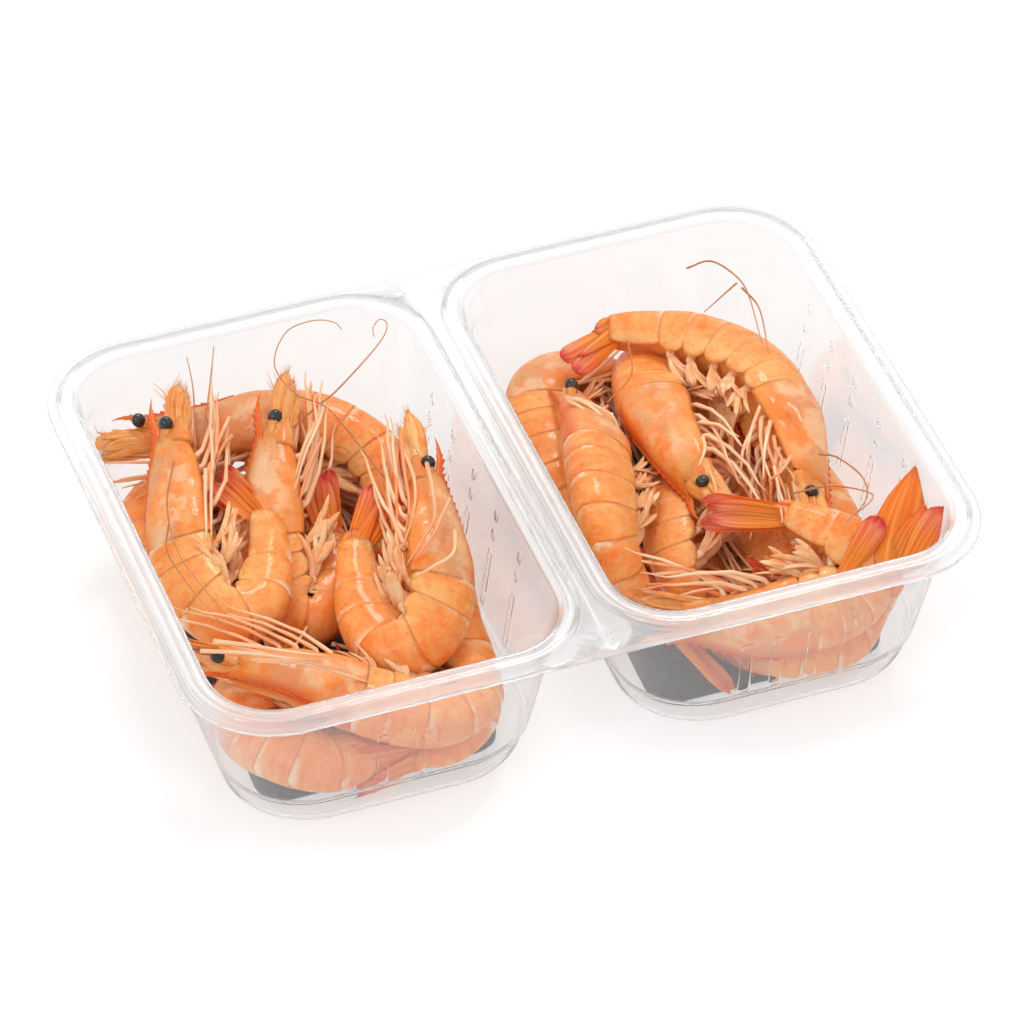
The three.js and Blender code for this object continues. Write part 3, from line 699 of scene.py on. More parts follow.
def limb_finish():
    """Legs and feeler stalks: cream to peach, glossy, a little streaked."""
    nodes, shader = new_material("limb")
    along, _, _, tone = nodes.place()
    streak = nodes.effect("strands", across=1.5, along=2).outputs[0]
    tint = nodes.blend(streak, "FFDAB2", "FCB682")
    tint = nodes.blend(nodes.fade(tone, 0.45, 0.95, 0, 0.8), tint, "F47C30")
    tint = nodes.blend(nodes.fade(along, 0.7, 1, 0, 0.3), tint, "FAA264")
    finish_food(nodes, shader, tint, nodes.fade(streak, 0, 1, 0.38, 0.5), streak, 0.00008, 0.12)


def soft_limb_finish():
    """Swimmerets: pale cream and soft, a little peach at the root."""
    nodes, shader = new_material("soft_limb")
    along, _, _, tone = nodes.place()
    cloud = nodes.effect("patches", scale=240, cover=0.5, edge=0.3).outputs[0]
    tint = nodes.blend(cloud, "FECE9E", "FBB47C")
    tint = nodes.blend(nodes.fade(tone, 0.05, 0.4, 0, 0.5), tint, "FAA96C")
    tint = nodes.blend(nodes.fade(along, 0.4, 0, 0, 0.6), tint, "F89C58")
    finish_food(nodes, shader, tint, nodes.fade(cloud, 0, 1, 0.36, 0.5), cloud, 0.00008, 0.15)


def scale_leaf_finish():
    """Flat scales beside the feelers: amber orange with uneven ribs along them."""
    nodes, shader = new_material("scale_leaf")
    _, across, _, tone = nodes.place()
    streak = nodes.effect("strands", across=3.2, along=1.2, edge=0.22).outputs[0]
    cloud = nodes.effect("patches", scale=260, cover=0.5, edge=0.3).outputs[0]
    tint = nodes.blend(streak, "FCB264", "F08430")
    tint = nodes.blend(nodes.sum("MULTIPLY", cloud, 0.4), tint, "FFBE7A")
    rim = nodes.fade(nodes.sum("ABSOLUTE", across), 0.75, 1, 0, 0.6)
    tint = nodes.blend(rim, tint, "E66618")
    tint = nodes.blend(nodes.fade(tone, 0.4, 1, 0, 0.5), tint, "FFC48C")
    finish_food(nodes, shader, tint, nodes.fade(streak, 0, 1, 0.38, 0.5), streak, 0.0002, 0.2)


def beak_finish():
    """The toothed spike on the head: amber with a deep red orange edge."""
    nodes, shader = new_material("beak")
    _, across, _, _ = nodes.place()
    streak = nodes.effect("strands", across=2, along=6).outputs[0]
    tint = nodes.blend(streak, "F67E24", "E65C18")
    tint = nodes.blend(nodes.fade(across, 0.1, 0.8, 0, 0.6), tint, "CC4018")
    tint = nodes.blend(nodes.fade(across, -0.1, -0.8, 0, 0.7), tint, "FC9C4C")
    finish_food(nodes, shader, tint, nodes.fade(streak, 0, 1, 0.36, 0.48), streak, 0.0001, 0.2)


def tail_blade_finish():
    """Tail blades: orange with pale and deep grooves, red along the edges, crimson at the tip."""
    nodes, shader = new_material("tail_blade")
    along, across, _, tone = nodes.place()
    streak = nodes.effect("strands", across=2.6, along=0.8, edge=0.2).outputs[0]
    groove = nodes.effect("strands", across=5, along=0.5, edge=0.12).outputs[0]
    tint = nodes.blend(streak, "F97C10", "FCA242")
    rosy = nodes.blend(streak, "F0623C", "FCA584")
    flush = nodes.sum("MULTIPLY", nodes.fade(along, 0.4, 0.95), nodes.fade(tone, 0.1, 0.5, 0.15, 1))
    tint = nodes.blend(flush, tint, rosy)
    tint = nodes.blend(nodes.sum("MULTIPLY", groove, 0.5), tint, "DC4A10")
    rim = nodes.fade(nodes.sum("ABSOLUTE", across), 0.82, 1, 0, 0.7)
    tint = nodes.blend(rim, tint, "E4441C")
    tip = nodes.sum("ADD", along, nodes.fade(streak, 0, 1, -0.06, 0.06))
    tip = nodes.sum("MULTIPLY", nodes.fade(tip, 0.84, 1, 0, 0.95), nodes.fade(tone, 0.1, 0.9, 0.55, 1))
    tint = nodes.blend(tip, tint, "C82232")
    finish_food(nodes, shader, tint, nodes.fade(streak, 0, 1, 0.34, 0.48), streak, 0.0002, 0.25, 0.1)


def eye_finish():
    """Eyes: near black, finely grained, with a dull shine."""
    nodes, shader = new_material("eye")
    along, _, _, _ = nodes.place()
    grain = nodes.effect("freckles", scale=2600, cover=0.6).outputs[0]
    cloud = nodes.effect("patches", scale=700, cover=0.4, edge=0.3).outputs[0]
    tint = nodes.blend(cloud, "1B1718", "39312F")
    tint = nodes.blend(nodes.sum("MULTIPLY", grain, 0.5), tint, "4A4340")
    tint = nodes.blend(nodes.fade(along, 0.3, 0.05), tint, "7A4A34")
    finish_food(nodes, shader, tint, nodes.fade(cloud, 0, 1, 0.18, 0.35), grain, 0.00006, 0.0, 0.8)


def feeler_finish():
    """Long feelers: thin amber brown whips, paler to the end."""
    nodes, shader = new_material("feeler")
    along, _, _, _ = nodes.place()
    streak = nodes.effect("strands", across=1, along=40).outputs[0]
    tint = nodes.blend(streak, "C9814F", "B66C3F")
    tint = nodes.blend(nodes.fade(along, 0.2, 1, 0, 0.5), tint, "D9A27A")
    finish_food(nodes, shader, tint, nodes.fade(streak, 0, 1, 0.35, 0.5), streak, 0.00005, 0.1, 0.2)


def clear_finish(name, clear, rough, bend, edge):
    """Clear plastic with a little haze in it, painted grey as shade where it is seen edge on. Light falls
    through it onto the food.
    """
    nodes, shader = new_material(name)
    output = nodes.tree.nodes["Material Output"]
    facing = nodes.add("LayerWeight", {"Blend": 0.5}).outputs["Facing"]
    # Greyer where the sheet is seen edge on. This is partly the longer way light takes through the plastic
    # there, and partly painted shade for the grey lines that its bends and edges show.
    nodes.put(shader.inputs["Base Color"], nodes.blend(nodes.fade(facing, 0.6, 1.0), "FAFAFA", edge))
    haze = nodes.effect("patches", scale=60, cover=0.5, edge=0.4).outputs[0]
    nodes.put(shader.inputs["Roughness"], nodes.fade(haze, 0, 1, rough * 0.7, rough))
    shader.inputs["Transmission Weight"].default_value = clear
    shader.inputs["IOR"].default_value = bend
    path = nodes.add("LightPath")
    passing = nodes.sum("MAXIMUM", path.outputs["Is Shadow Ray"], path.outputs["Is Diffuse Ray"])
    late = nodes.sum("GREATER_THAN", path.outputs["Ray Depth"], 4)
    open_air = nodes.add("BsdfTransparent", {0: "F9F9F9"})
    share = nodes.sum("MAXIMUM", passing, late)
    both = nodes.add("MixShader", {0: share, 1: shader.outputs[0], 2: open_air.outputs[0]})
    nodes.put(output.inputs["Surface"], both.outputs[0])


# In each clear finish below, the grey colour is the painted shade of the plastic seen edge on.
def clear_sheet_finish():
    clear_finish("clear_sheet", 0.93, 0.03, 1.36, "BEC0C2")


def clear_bead_finish():
    clear_finish("clear_bead", 0.8, 0.13, 1.42, "BFC2C4")


def fleece_finish():
    """Absorbent pad: dark grey matted fibres with damp patches."""
    nodes, shader = new_material("fleece")
    spot = nodes.add("TexCoord").outputs["Object"]
    long_way = nodes.add("Mapping", {"Vector": spot, "Scale": (1, 0.25, 1)}).outputs[0]
    cross_way = nodes.add("Mapping", {"Vector": spot, "Scale": (0.25, 1, 1)}).outputs[0]
    one = nodes.add("TexNoise", {"Vector": long_way, "Scale": 2600, "Detail": 2}).outputs[0]
    two = nodes.add("TexNoise", {"Vector": cross_way, "Scale": 2600, "Detail": 2}).outputs[0]
    fibres = nodes.sum("MAXIMUM", one, two)
    damp = nodes.effect("patches", scale=45, cover=0.45, edge=0.25).outputs[0]
    tint = nodes.blend(nodes.fade(fibres, 0.4, 0.75), "35373B", "5D6166")
    tint = nodes.blend(nodes.sum("MULTIPLY", damp, 0.5), tint, "2A2B2E")
    nodes.put(shader.inputs["Base Color"], tint)
    nodes.put(shader.inputs["Roughness"], nodes.fade(damp, 0, 1, 0.95, 0.55))
    relief = nodes.add("Bump", {"Height": fibres, "Distance": 0.0003, "Strength": 0.8})
    nodes.put(shader.inputs["Normal"], relief.outputs[0])


def white_floor_finish():
    """The plain white floor."""
    nodes, shader = new_material("white_floor")
    spot = nodes.add("TexCoord").outputs["Object"]
    grain = nodes.add("TexNoise", {"Vector": spot, "Scale": 3, "Detail": 1}).outputs[0]
    nodes.put(shader.inputs["Base Color"], nodes.blend(grain, "A9A9A9", "ACACAC"))
    shader.inputs["Roughness"].default_value = 0.9
    shader.inputs["Specular IOR Level"].default_value = 0.0
    shader.inputs["Emission Color"].default_value = colour("FFFFFF")
    shader.inputs["Emission Strength"].default_value = 0.6


def perimeter(box, side_spots, back_spots, front_spots, corner_angles):
    """Points round a rectangle with round corners, their ways out and their place on each wall."""
    left, right, front, back, radius = box
    half_x, half_y = (right - left) / 2 - radius, (back - front) / 2 - radius
    middle = np.array([(left + right) / 2, (front + back) / 2])
    near_rim = FLUTE_HALF - FLUTE_RIM * np.array(FLUTE_RIM_STATIONS)
    steps = np.concatenate([-near_rim, [0], near_rim[::-1]])

    def stations(spots, half):
        near = np.concatenate([spot + steps for spot in spots])
        gaps = [(a + b) / 2 for a, b in zip(spots, spots[1:]) if b - a > 6]
        inner = np.sort(np.concatenate([near, gaps]))
        low = np.linspace(-half, inner[0], 4)[:-1]
        high = np.linspace(inner[-1], half, 4)[1:]
        return np.concatenate([low, inner, high])

    points, ways, walls = [], [], []
    sides = (
        (stations(side_spots, half_y), (1, 0), (0, 1), half_x + radius, "side"),
        (stations(back_spots, half_x)[::-1], (0, 1), (1, 0), half_y + radius, "back"),
        (stations(side_spots, half_y)[::-1], (-1, 0), (0, 1), half_x + radius, "side"),
        (stations(front_spots, half_x), (0, -1), (1, 0), half_y + radius, "front"),
    )
    centres = ((1, 1), (-1, 1), (-1, -1), (1, -1))
    for turn, ((places, way, along, reach, wall), centre) in enumerate(zip(sides, centres)):
        way, along = np.array(way, float), np.array(along, float)
        points.append(middle + way * reach + places[:, None] * along)
        ways.append(np.broadcast_to(way, (len(places), 2)))
        walls.append([(wall, place) for place in places])
        angles = np.radians(corner_angles + 90 * turn)
        out = np.stack([np.cos(angles), np.sin(angles)], 1)
        points.append(middle + np.array(centre) * (half_x, half_y) + out * radius)
        ways.append(out)
        walls.append([(f"corner{turn}", angle) for angle in corner_angles])
    return np.concatenate(points), np.concatenate(ways), sum(walls, [])


def tray_ring(box, front_spots):
    return perimeter(box, SIDE_FLUTES, BACK_FLUTES, front_spots, CORNER_ANGLES)


def tub_box(z, grow):
    """The tub's inner face at a height, moved outwards by grow."""
    rise = z / FLANGE_TOP
    fillet = 0.0
    if z < FLOOR_FILLET:
        fillet = FLOOR_FILLET - math.sqrt(FLOOR_FILLET ** 2 - (FLOOR_FILLET - z) ** 2)
    inset = WALL_DRAFT * (1 - rise) + fillet + (LEDGE_STEP if z < LEDGE_HEIGHT else 0) - grow
    rim = BEAD_SET_BACK + BEAD_WIDTH
    radius = TUB_CORNER_FLOOR + (TUB_CORNER_TOP - TUB_CORNER_FLOOR) * rise - fillet + grow
    right, back = TRAY_LENGTH / 2 - rim - inset, TRAY_DEPTH / 2 - rim - inset
    return WEB_HALF + BEAD_WIDTH + inset, right, -back, back, radius


def bead_box(inset):
    right, back = TRAY_LENGTH / 2 - BEAD_SET_BACK - inset, TRAY_DEPTH / 2 - BEAD_SET_BACK - inset
    return WEB_HALF + inset, right, -back, back, FLANGE_CORNER - BEAD_SET_BACK - inset


def pressed(walls, z, hand):
    """How far each spot of a wall is pressed inwards: flutes, dots and the corners' stacking lugs."""
    depth = np.zeros(len(walls))
    spots = {"side": SIDE_FLUTES, "back": BACK_FLUTES, "front": FRONT_FLUTES}
    dots = {"side": SIDE_DOTS, "back": BACK_DOTS, "front": ()}
    for k, (wall, place) in enumerate(walls):
        if wall in spots:
            if wall == "front":
                place *= hand
            for spot in spots[wall]:
                across = place - spot
                top = FLUTE_TOPS[wall] - FLUTE_HALF
                reach = math.hypot(across, max(z - top, FLUTE_LOW - z, 0))
                press = float(smooth(reach, FLUTE_HALF, FLUTE_HALF - FLUTE_RIM))
                depth[k] += press * FLUTE_STRENGTH[wall]
                for dot in dots[wall]:
                    reach = math.hypot(across / DOT_STRETCH[0], (z - dot) / DOT_STRETCH[1])
                    depth[k] += float(smooth(reach, *DOT_RIM))
        elif wall in ("corner0", "corner1"):
            angle = place if wall == "corner0" else 90 - place
            for lug in LUG_ANGLES:
                across = 1 - abs(angle - lug) / (LUG_HALF_ANGLE + (LUG_WIDEST - z) * LUG_TAPER)
                rise = float(smooth(z, *LUG_FOOT)) * float(smooth(z, *LUG_HEAD))
                depth[k] += LUG_DEPTH * float(smooth(across, 0, 0.25)) * rise
    return depth * FLUTE_DEPTH


def half_tray(hand):
    """One tub with its bead and its half of the flange and web, as rings from floor to flange to floor."""
    front_spots = FRONT_FLUTES if hand > 0 else tuple(-x for x in reversed(FRONT_FLUTES))
    rings = []

    def ring(box, z, relief=False):
        points, ways, walls = tray_ring(box, front_spots)
        if relief:
            points = points - ways * pressed(walls, z, hand)[:, None]
        rings.append(np.column_stack([points, np.full(len(points), z)]))

    def flange(z, inset):
        points, ways, _ = tray_ring(bead_box(0), front_spots)
        corner = np.array([TRAY_LENGTH / 2 - FLANGE_CORNER, TRAY_DEPTH / 2 - FLANGE_CORNER])
        reach = BEAD_SET_BACK - inset
        out = points + ways * reach
        web = points[:, 0] < WEB_HALF + FLANGE_CORNER - BEAD_SET_BACK
        start = np.array([WEB_HALF + FLANGE_CORNER - BEAD_SET_BACK, 0])
        for k in np.flatnonzero(web):
            centre = np.array([start[0], np.clip(points[k, 1], -corner[1], corner[1])])
            way = ways[k]
            stretch = [centre[0] / -way[0]] if way[0] < -1e-9 else []
            if abs(way[1]) > 1e-9:
                stretch.append((FLANGE_CORNER - inset) / abs(way[1]))
            out[k] = centre + way * min(stretch)
        for end in (-1, 1):
            goal = np.array([0, end * (TRAY_DEPTH / 2 - inset)])
            nearest = np.argmin(np.linalg.norm(out - goal, axis=1))
            out[nearest] = goal
        rings.append(np.column_stack([out, np.full(len(out), z)]))

    middle = np.array([TUB_MIDDLE, 0])

    def floor(z, shrink, box):
        points, _, _ = tray_ring(box, front_spots)
        points = middle + (points - middle) * shrink
        rings.append(np.column_stack([points, np.full(len(points), z)]))

    heights = (*FLOOR_ROWS, *WALL_ROWS)
    for shrink in FLOOR_SHARES:
        floor(SHEET, shrink, tub_box(0.001, 0))
    for z in heights:
        lift = SHEET * (1 - z / FLANGE_TOP)
        ring(tub_box(z, 0), z, relief=True)
        rings[-1][:, 2] += lift
    ring(tub_box(FLANGE_TOP, 0), 43.4)
    for inset, z in BEAD_TOP:
        ring(bead_box(inset), z)
    ring(bead_box(0), FLANGE_TOP)
    flange(FLANGE_TOP, 0.25)
    flange(FLANGE_TOP - 0.15, 0)
    flange(FLANGE_TOP - SHEET + 0.15, 0)
    flange(FLANGE_TOP - SHEET, 0.25)
    for inset, z in BEAD_UNDER:
        ring(bead_box(inset), z)
    ring(tub_box(FLANGE_TOP - 0.4, SHEET), 42.8)
    for z in reversed(heights):
        ring(tub_box(z, SHEET), z, relief=True)
    for shrink in reversed(FLOOR_SHARES):
        floor(0.0, shrink, tub_box(0.001, SHEET))
    return np.array(rings)


def make_tray():
    """Both tubs, welded along the middle of the web, with small raised crosses on the web."""
    piece = Piece("clear_tray", ["clear_sheet", "clear_bead"])
    for hand in (1, -1):
        rings = half_tray(hand)
        rings[..., 0] *= hand
        piece.skin(rings, "clear_sheet", (0, 0, 0))
        flat = rings.reshape(-1, 3)
        quads = piece.quads[-1]
        corners = flat[np.minimum(quads - quads.min(), len(flat) - 1)]
        seam = (np.abs(corners[..., 0]) < 1e-6).all(axis=1)
        high = corners[..., 2].min(axis=1) > FLANGE_TOP - SHEET - 0.1
        piece.quads[-1] = quads[~seam]
        piece.quad_finish[-1] = high[~seam].astype(int)
    for middle, half in WEB_MARKS:
        for way in ((1, 0.3), (-0.3, 1)):
            bar = np.array(middle) + np.outer(np.linspace(-half, half, 7), (*way, 0))
            swell = np.sin(np.linspace(0.1, 0.9, 7) * math.pi) ** 0.3
            sweep(piece, "clear_sheet", bar, 0.22 * swell, 0.14 * swell, (-way[1], way[0], 0))
    tray = piece.make()
    work = bmesh.new()
    work.from_mesh(tray.data)
    seam = [corner for corner in work.verts if abs(corner.co.x) < 1e-7]
    bmesh.ops.remove_doubles(work, verts=seam, dist=1e-6)
    work.to_mesh(tray.data)
    work.free()
    return tray


def make_pad(node):
    """A fleece pad with quilted dimples and soft, slightly wavy edges."""
    low, high = (np.array(corner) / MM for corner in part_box(node))
    rng = np.random.default_rng(5)
    columns, rows = PAD_MESH
    x = np.linspace(-1, 1, columns)
    y = np.linspace(-1, 1, rows)
    middle, half = (low + high) / 2, (high - low) / 2
    u, v = np.meshgrid(x, y, indexing="ij")
    px, py = u * half[0], v * half[1]
    over_x = np.maximum(np.abs(px) - half[0] + PAD_CORNER, 0)
    over_y = np.maximum(np.abs(py) - half[1] + PAD_CORNER, 0)
    over = np.hypot(over_x, over_y)
    pull = np.where(over > PAD_CORNER, PAD_CORNER / np.maximum(over, 1e-6), 1.0)
    near_x = np.sign(px) * (half[0] - PAD_CORNER)
    near_y = np.sign(py) * (half[1] - PAD_CORNER)
    in_corner = (over_x > 0) & (over_y > 0)
    px = np.where(in_corner, near_x + (px - near_x) * pull, px)
    py = np.where(in_corner, near_y + (py - near_y) * pull, py)
    edge = np.minimum(1 - np.abs(u), 1 - np.abs(v))
    puff = smooth(edge, 0, 0.06)
    quilt = np.cos(px * 2 * math.pi / QUILT_STEP) * np.cos(py * 2 * math.pi / QUILT_STEP)
    spots = np.stack([px, py, 0 * px], -1)
    crown = half[2] * (0.35 + 0.65 * puff) - QUILT_DEPTH * puff * smooth(quilt, 0.4, 1)
    crown -= WAVE_DEPTH * puff * (1 + ripple(spots, rng, WAVE_LENGTH))
    top = np.stack([middle[0] + px, middle[1] + py, middle[2] + crown], -1)
    base = np.stack([middle[0] + px, middle[1] + py, middle[2] - half[2] * (0.3 + 0.7 * puff)], -1)
    piece = Piece(node + "_fleece", ["fleece"])
    index = np.arange(columns * rows).reshape(columns, rows)
    face = np.stack([index[:-1, :-1], index[1:, :-1], index[1:, 1:], index[:-1, 1:]], -1).reshape(-1, 4)
    rim = np.concatenate([index[:-1, 0], index[-1, :-1], index[:0:-1, -1], index[0, :0:-1]])
    after = np.roll(rim, -1)
    count = columns * rows
    side = np.stack([rim + count, after + count, after, rim], -1)
    quads = np.concatenate([face, face[:, ::-1] + count, side])
    points = np.concatenate([top.reshape(-1, 3), base.reshape(-1, 3)])
    piece.add(points, quads, [], "fleece", np.zeros(3), 0.0)
    return piece.make()


class Spine:
    """The line through a shrimp's body, with the ways along it, to its left flank and to its back."""

    def __init__(self, points, side, side_aft):
        self.path = spaced(through(points), 400)
        self.length = np.linalg.norm(np.diff(self.path, axis=0), axis=1).sum()
        self.share = np.linspace(0, 1, len(self.path))
        self.along = unit(np.gradient(self.path, axis=0))
        side = np.asarray(side, float) + np.outer(self.share, np.subtract(side_aft, side))
        side -= (side * self.along).sum(1)[:, None] * self.along
        self.side = unit(side)
        self.back = np.cross(self.side, self.along)
        low, high = np.clip(self.share - CURL_STEP, 0, 1), np.clip(self.share + CURL_STEP, 0, 1)
        turn = self.read(self.along, high) - self.read(self.along, low)
        curl = -(turn * self.back).sum(1) / ((high - low) * self.length)
        near = [np.interp(self.share + step, self.share, curl) for step in (-CURL_STEP, 0, CURL_STEP)]
        self.curl = np.max(near, axis=0)

    def read(self, field, share):
        share = np.asarray(share, float)
        return np.stack([np.interp(share, self.share, field[:, k]) for k in range(3)], -1)

    def at(self, share):
        """Point, along, side and back at each share; past its ends the line runs straight on."""
        share = np.asarray(share, float)
        along = self.read(self.along, share)
        over = (share - np.clip(share, 0, 1)) * self.length
        point = self.read(self.path, share) + along * over[..., None]
        return point, along, self.read(self.side, share), self.read(self.back, share)


class Shrimp:
    """One shrimp: its spine and sizes, and the piece that gathers its parts."""

    def __init__(self, name, seed, height, fan, spread, side, points, side_aft=None, **more):
        self.name, self.height, self.spread = name, height, spread
        self.fan = unit(fan)
        self.spine = Spine(points, side, side_aft or side)
        self.rng = np.random.default_rng(seed)
        self.more = more
        self.piece = Piece(name + "_cooked", FOOD_FINISHES)

    def up(self, share):
        return self.height / 2 * profile(share, BODY_PLACES, BODY_HEIGHTS)

    def wide(self, share):
        return self.height / 2 * profile(share, BODY_PLACES, BODY_WIDTHS)

    def deep(self, share):
        """How far the belly reaches, which in a tight curl stops short of the curl's middle."""
        curl = np.interp(share, self.spine.share, self.spine.curl)
        return np.minimum(self.up(share), CURL_SHARE / np.maximum(curl, 1e-3))

    def spot(self, share, out, rise):
        """A point beside the spine: out to the left flank, and towards the back."""
        point, _, side, back = self.spine.at(share)
        return point + side * np.asarray(out)[..., None] + back * np.asarray(rise)[..., None]


def body_rows():
    """Rows of the shell, closer together near the joints: place on the plate, and the plate's number."""
    rows = []
    for plate in range(len(PLATE_ENDS) - 1):
        steps = 28 if plate == 0 else 17 if plate == 6 else 12
        even = np.linspace(0, 1, steps)
        shares = even - 0.04 * np.sin(2 * math.pi * even)
        rows += [(share, plate) for share in shares]
    return np.array(rows)


def make_body(shrimp):
    """Head shell and six plates as one skin, each plate's front tucked under the one before."""
    rows = body_rows()
    share, plate = rows[:, :1], rows[:, 1:].astype(int)
    head = plate == 0
    ends = np.array(PLATE_ENDS)
    down = np.linspace(-1, 1, 2 * FLANK_STEPS + 1)
    lower = np.abs(down)
    belly = np.array([*BELLY_OUT, *[-out for out in BELLY_OUT[::-1]]])

    # Where each point lies along the body: edges sweep back, and the head's front is cut out for eyes
    sway = 0.012 * np.sin(lower * math.pi) - 0.006 * lower
    start = np.where(head, np.interp(lower, FRONT_DOWN, FRONT_EDGE), ends[plate] + sway)
    stop = ends[plate + 1] + np.where(plate == 6, 0, sway)
    s = start + (stop - start) * share

    # How far down each flank reaches, with each plate's lower corners rounded off
    round_off = np.abs(2 * share - 1) ** 3
    lobe = np.where(head, 0.05 * smooth(share, 0.2, 0), 0.12 * round_off)
    drop = lower * (1 - lobe)

    # The shell's fine relief: joints, head grooves, ridge and a gentle unevenness
    tuck = PLATE_LIP * smooth(share, 0.8, 1) - PLATE_TUCK * (1 - smooth(share, 0, 0.3))
    tuck = np.where(head, 0.08 * smooth(share, 0.9, 1) - 0.2 * smooth(share, 0.1, 0), tuck)
    centre = shrimp.spot(s, 0 * s, 0 * s)
    tuck = tuck + 0.2 * ripple(centre + 9 * drop[..., None], shrimp.rng, 11)
    tuck += 0.07 * ripple(centre + 9 * drop[..., None], shrimp.rng, 3.5)
    groove = np.exp(-((drop - 0.62 + 0.3 * share) / 0.05) ** 2) * smooth(share, 0.12, 0.3)
    neck = np.exp(-((share - 0.34 - 0.25 * drop) / 0.04) ** 2) * smooth(drop, 0.1, 0.35)
    tuck -= np.where(head, 0.25 * groove + 0.3 * neck, 0)
    keel = np.where(head, smooth(share, 0.75, 0.1), 0.6 * smooth(plate, 3, 6))
    ridge = 0.7 * keel * np.exp(-(drop / 0.09) ** 2)
    pointed = 0.3 + 0.7 * smooth(s, -0.03, 0.02)

    out = np.sign(down) * profile(drop, SECTION_SHARE, SECTION_OUT) * (shrimp.wide(s) + tuck) * pointed
    rise = profile(drop, SECTION_SHARE, SECTION_UP)
    rise = rise * np.where(rise > 0, shrimp.up(s), shrimp.deep(s)) + tuck * np.sign(rise) + ridge
    flanks = shrimp.spot(s, out, rise)
    s_belly = np.repeat(s[:, -1:], len(belly), axis=1)
    out_belly = belly * np.abs(out[:, -1:])
    rise_belly = (BELLY_UP - 0.08 * (1 - np.abs(belly))) * shrimp.deep(s_belly)
    under = shrimp.spot(s_belly, out_belly, rise_belly)
    rings = np.concatenate([flanks, under], axis=1)
    place_down = np.concatenate([np.broadcast_to(lower, s.shape), 0 * s_belly + 1.5], axis=1)
    place_along = np.concatenate([s, s_belly], axis=1)
    place = np.stack([place_along, place_down, share + 0 * place_along], -1)
    tone = plate + 0 * place_along

    # The head shell's open front turns inwards over the mouth parts
    middle = rings[0].mean(0)
    forward = shrimp.spine.at(0.0)[1]
    inner = [middle + (rings[0] - middle) * shrink + forward * depth for shrink, depth in FRONT_TURN]
    rings = np.concatenate([inner, rings])
    place = np.concatenate([[place[0] + (0, 0.3, 0)] * len(inner), place])
    tone = np.concatenate([[tone[0]] * len(inner), tone])
    shrimp.piece.skin(rings, "shell", place, tone)


def tapered(start, ways, lengths, count):
    """A bent path from a start, through legs of given ways and lengths, with rounded joints."""
    corners = [np.asarray(start, float)]
    for way, length in zip(ways, lengths):
        corners.append(corners[-1] + unit(way) * length)
    path = []
    for a, b in zip(corners, corners[1:]):
        path += [a, a + (b - a) * 0.12, a + (b - a) * 0.5, a + (b - a) * 0.88]
    return spaced(np.array([*path, corners[-1]]), count)


def make_beak(shrimp):
    """The toothed spike, rooted far back on the ridge of the head shell."""
    length = shrimp.more.get("beak", 12)
    _, along, side, back = shrimp.spine.at(0.0)
    tip_way = unit(-along + back * shrimp.more.get("beak_rise", 0.04))
    on_ridge = np.linspace(shrimp.more.get("beak_root", 0.26), -0.02, 8)
    ridge = shrimp.spot(on_ridge, 0 * on_ridge, shrimp.up(on_ridge) + 0.35)
    u = np.linspace(0, 1, 6)[1:, None]
    free = ridge[-1] + u * tip_way * (length - 1) + back * 0.7 * np.sin(u * math.pi)
    path = spaced(np.concatenate([ridge, free]), 110)
    u = np.linspace(0, 1, 110)
    teeth = np.where((u > 0.15) & (u < 0.85), (u * 15 % 1) ** 1.4, 0) * (0.4 + 0.6 * smooth(u, 0.1, 0.45))
    up = profile(u, (0, 0.3, 0.7, 0.9, 1), (0.1, 0.25, 0.55, 0.3, 0.05)) + teeth * 0.7
    low_teeth = np.where((u > 0.82) & (u < 0.93), ((u * 15 + 0.4) % 1) ** 1.4, 0) * 0.3
    low = profile(u, (0, 0.5, 0.75, 0.9, 1), (0.3, 0.6, 1.2, 0.5, 0.05)) + low_teeth
    thick = profile(u, (0, 0.3, 0.7, 1), (0.4, 0.5, 0.4, 0.08))
    up_way = np.cross(np.gradient(path, axis=0), side)
    up_way *= np.sign((up_way * back).sum(1))[:, None]
    sweep(shrimp.piece, "beak", path, (up, low), thick, up_way, 0.1)


def make_eyes(shrimp):
    """Two stalked eyes beside the spike. "eyes" gives how far ahead, up and out they stand."""
    point, along, side, back = shrimp.spine.at(0.0)
    ahead = -along
    high, wide = shrimp.up(0.0), shrimp.wide(0.0)
    for hand in (-1, 1):
        reach, rise, out = shrimp.more.get("eyes", HIDDEN_EYE)
        if hand == shrimp.more.get("far_eye"):
            reach, rise, out = HIDDEN_EYE
        start = point + back * high * 0.3 + side * hand * wide * 0.4 - ahead * 2
        eye = point + back * rise + side * hand * out + ahead * reach
        way = unit(eye - start)
        stalk = spaced(np.array([start, (start + eye) / 2 + back * 0.2, eye]), 8)
        sweep(shrimp.piece, "scale_leaf", stalk, np.linspace(1.1, 1.4, 8), np.linspace(1, 1.3, 8), back, 0.2)
        turn = np.linspace(0.04, 0.96, 13) * math.pi
        wide_half, deep_half, long_half = EYE_HALF
        ball = eye + way * (0.3 - long_half * np.cos(turn))[:, None]
        sweep(shrimp.piece, "eye", ball, wide_half * np.sin(turn), deep_half * np.sin(turn), back, 0.5, 14)


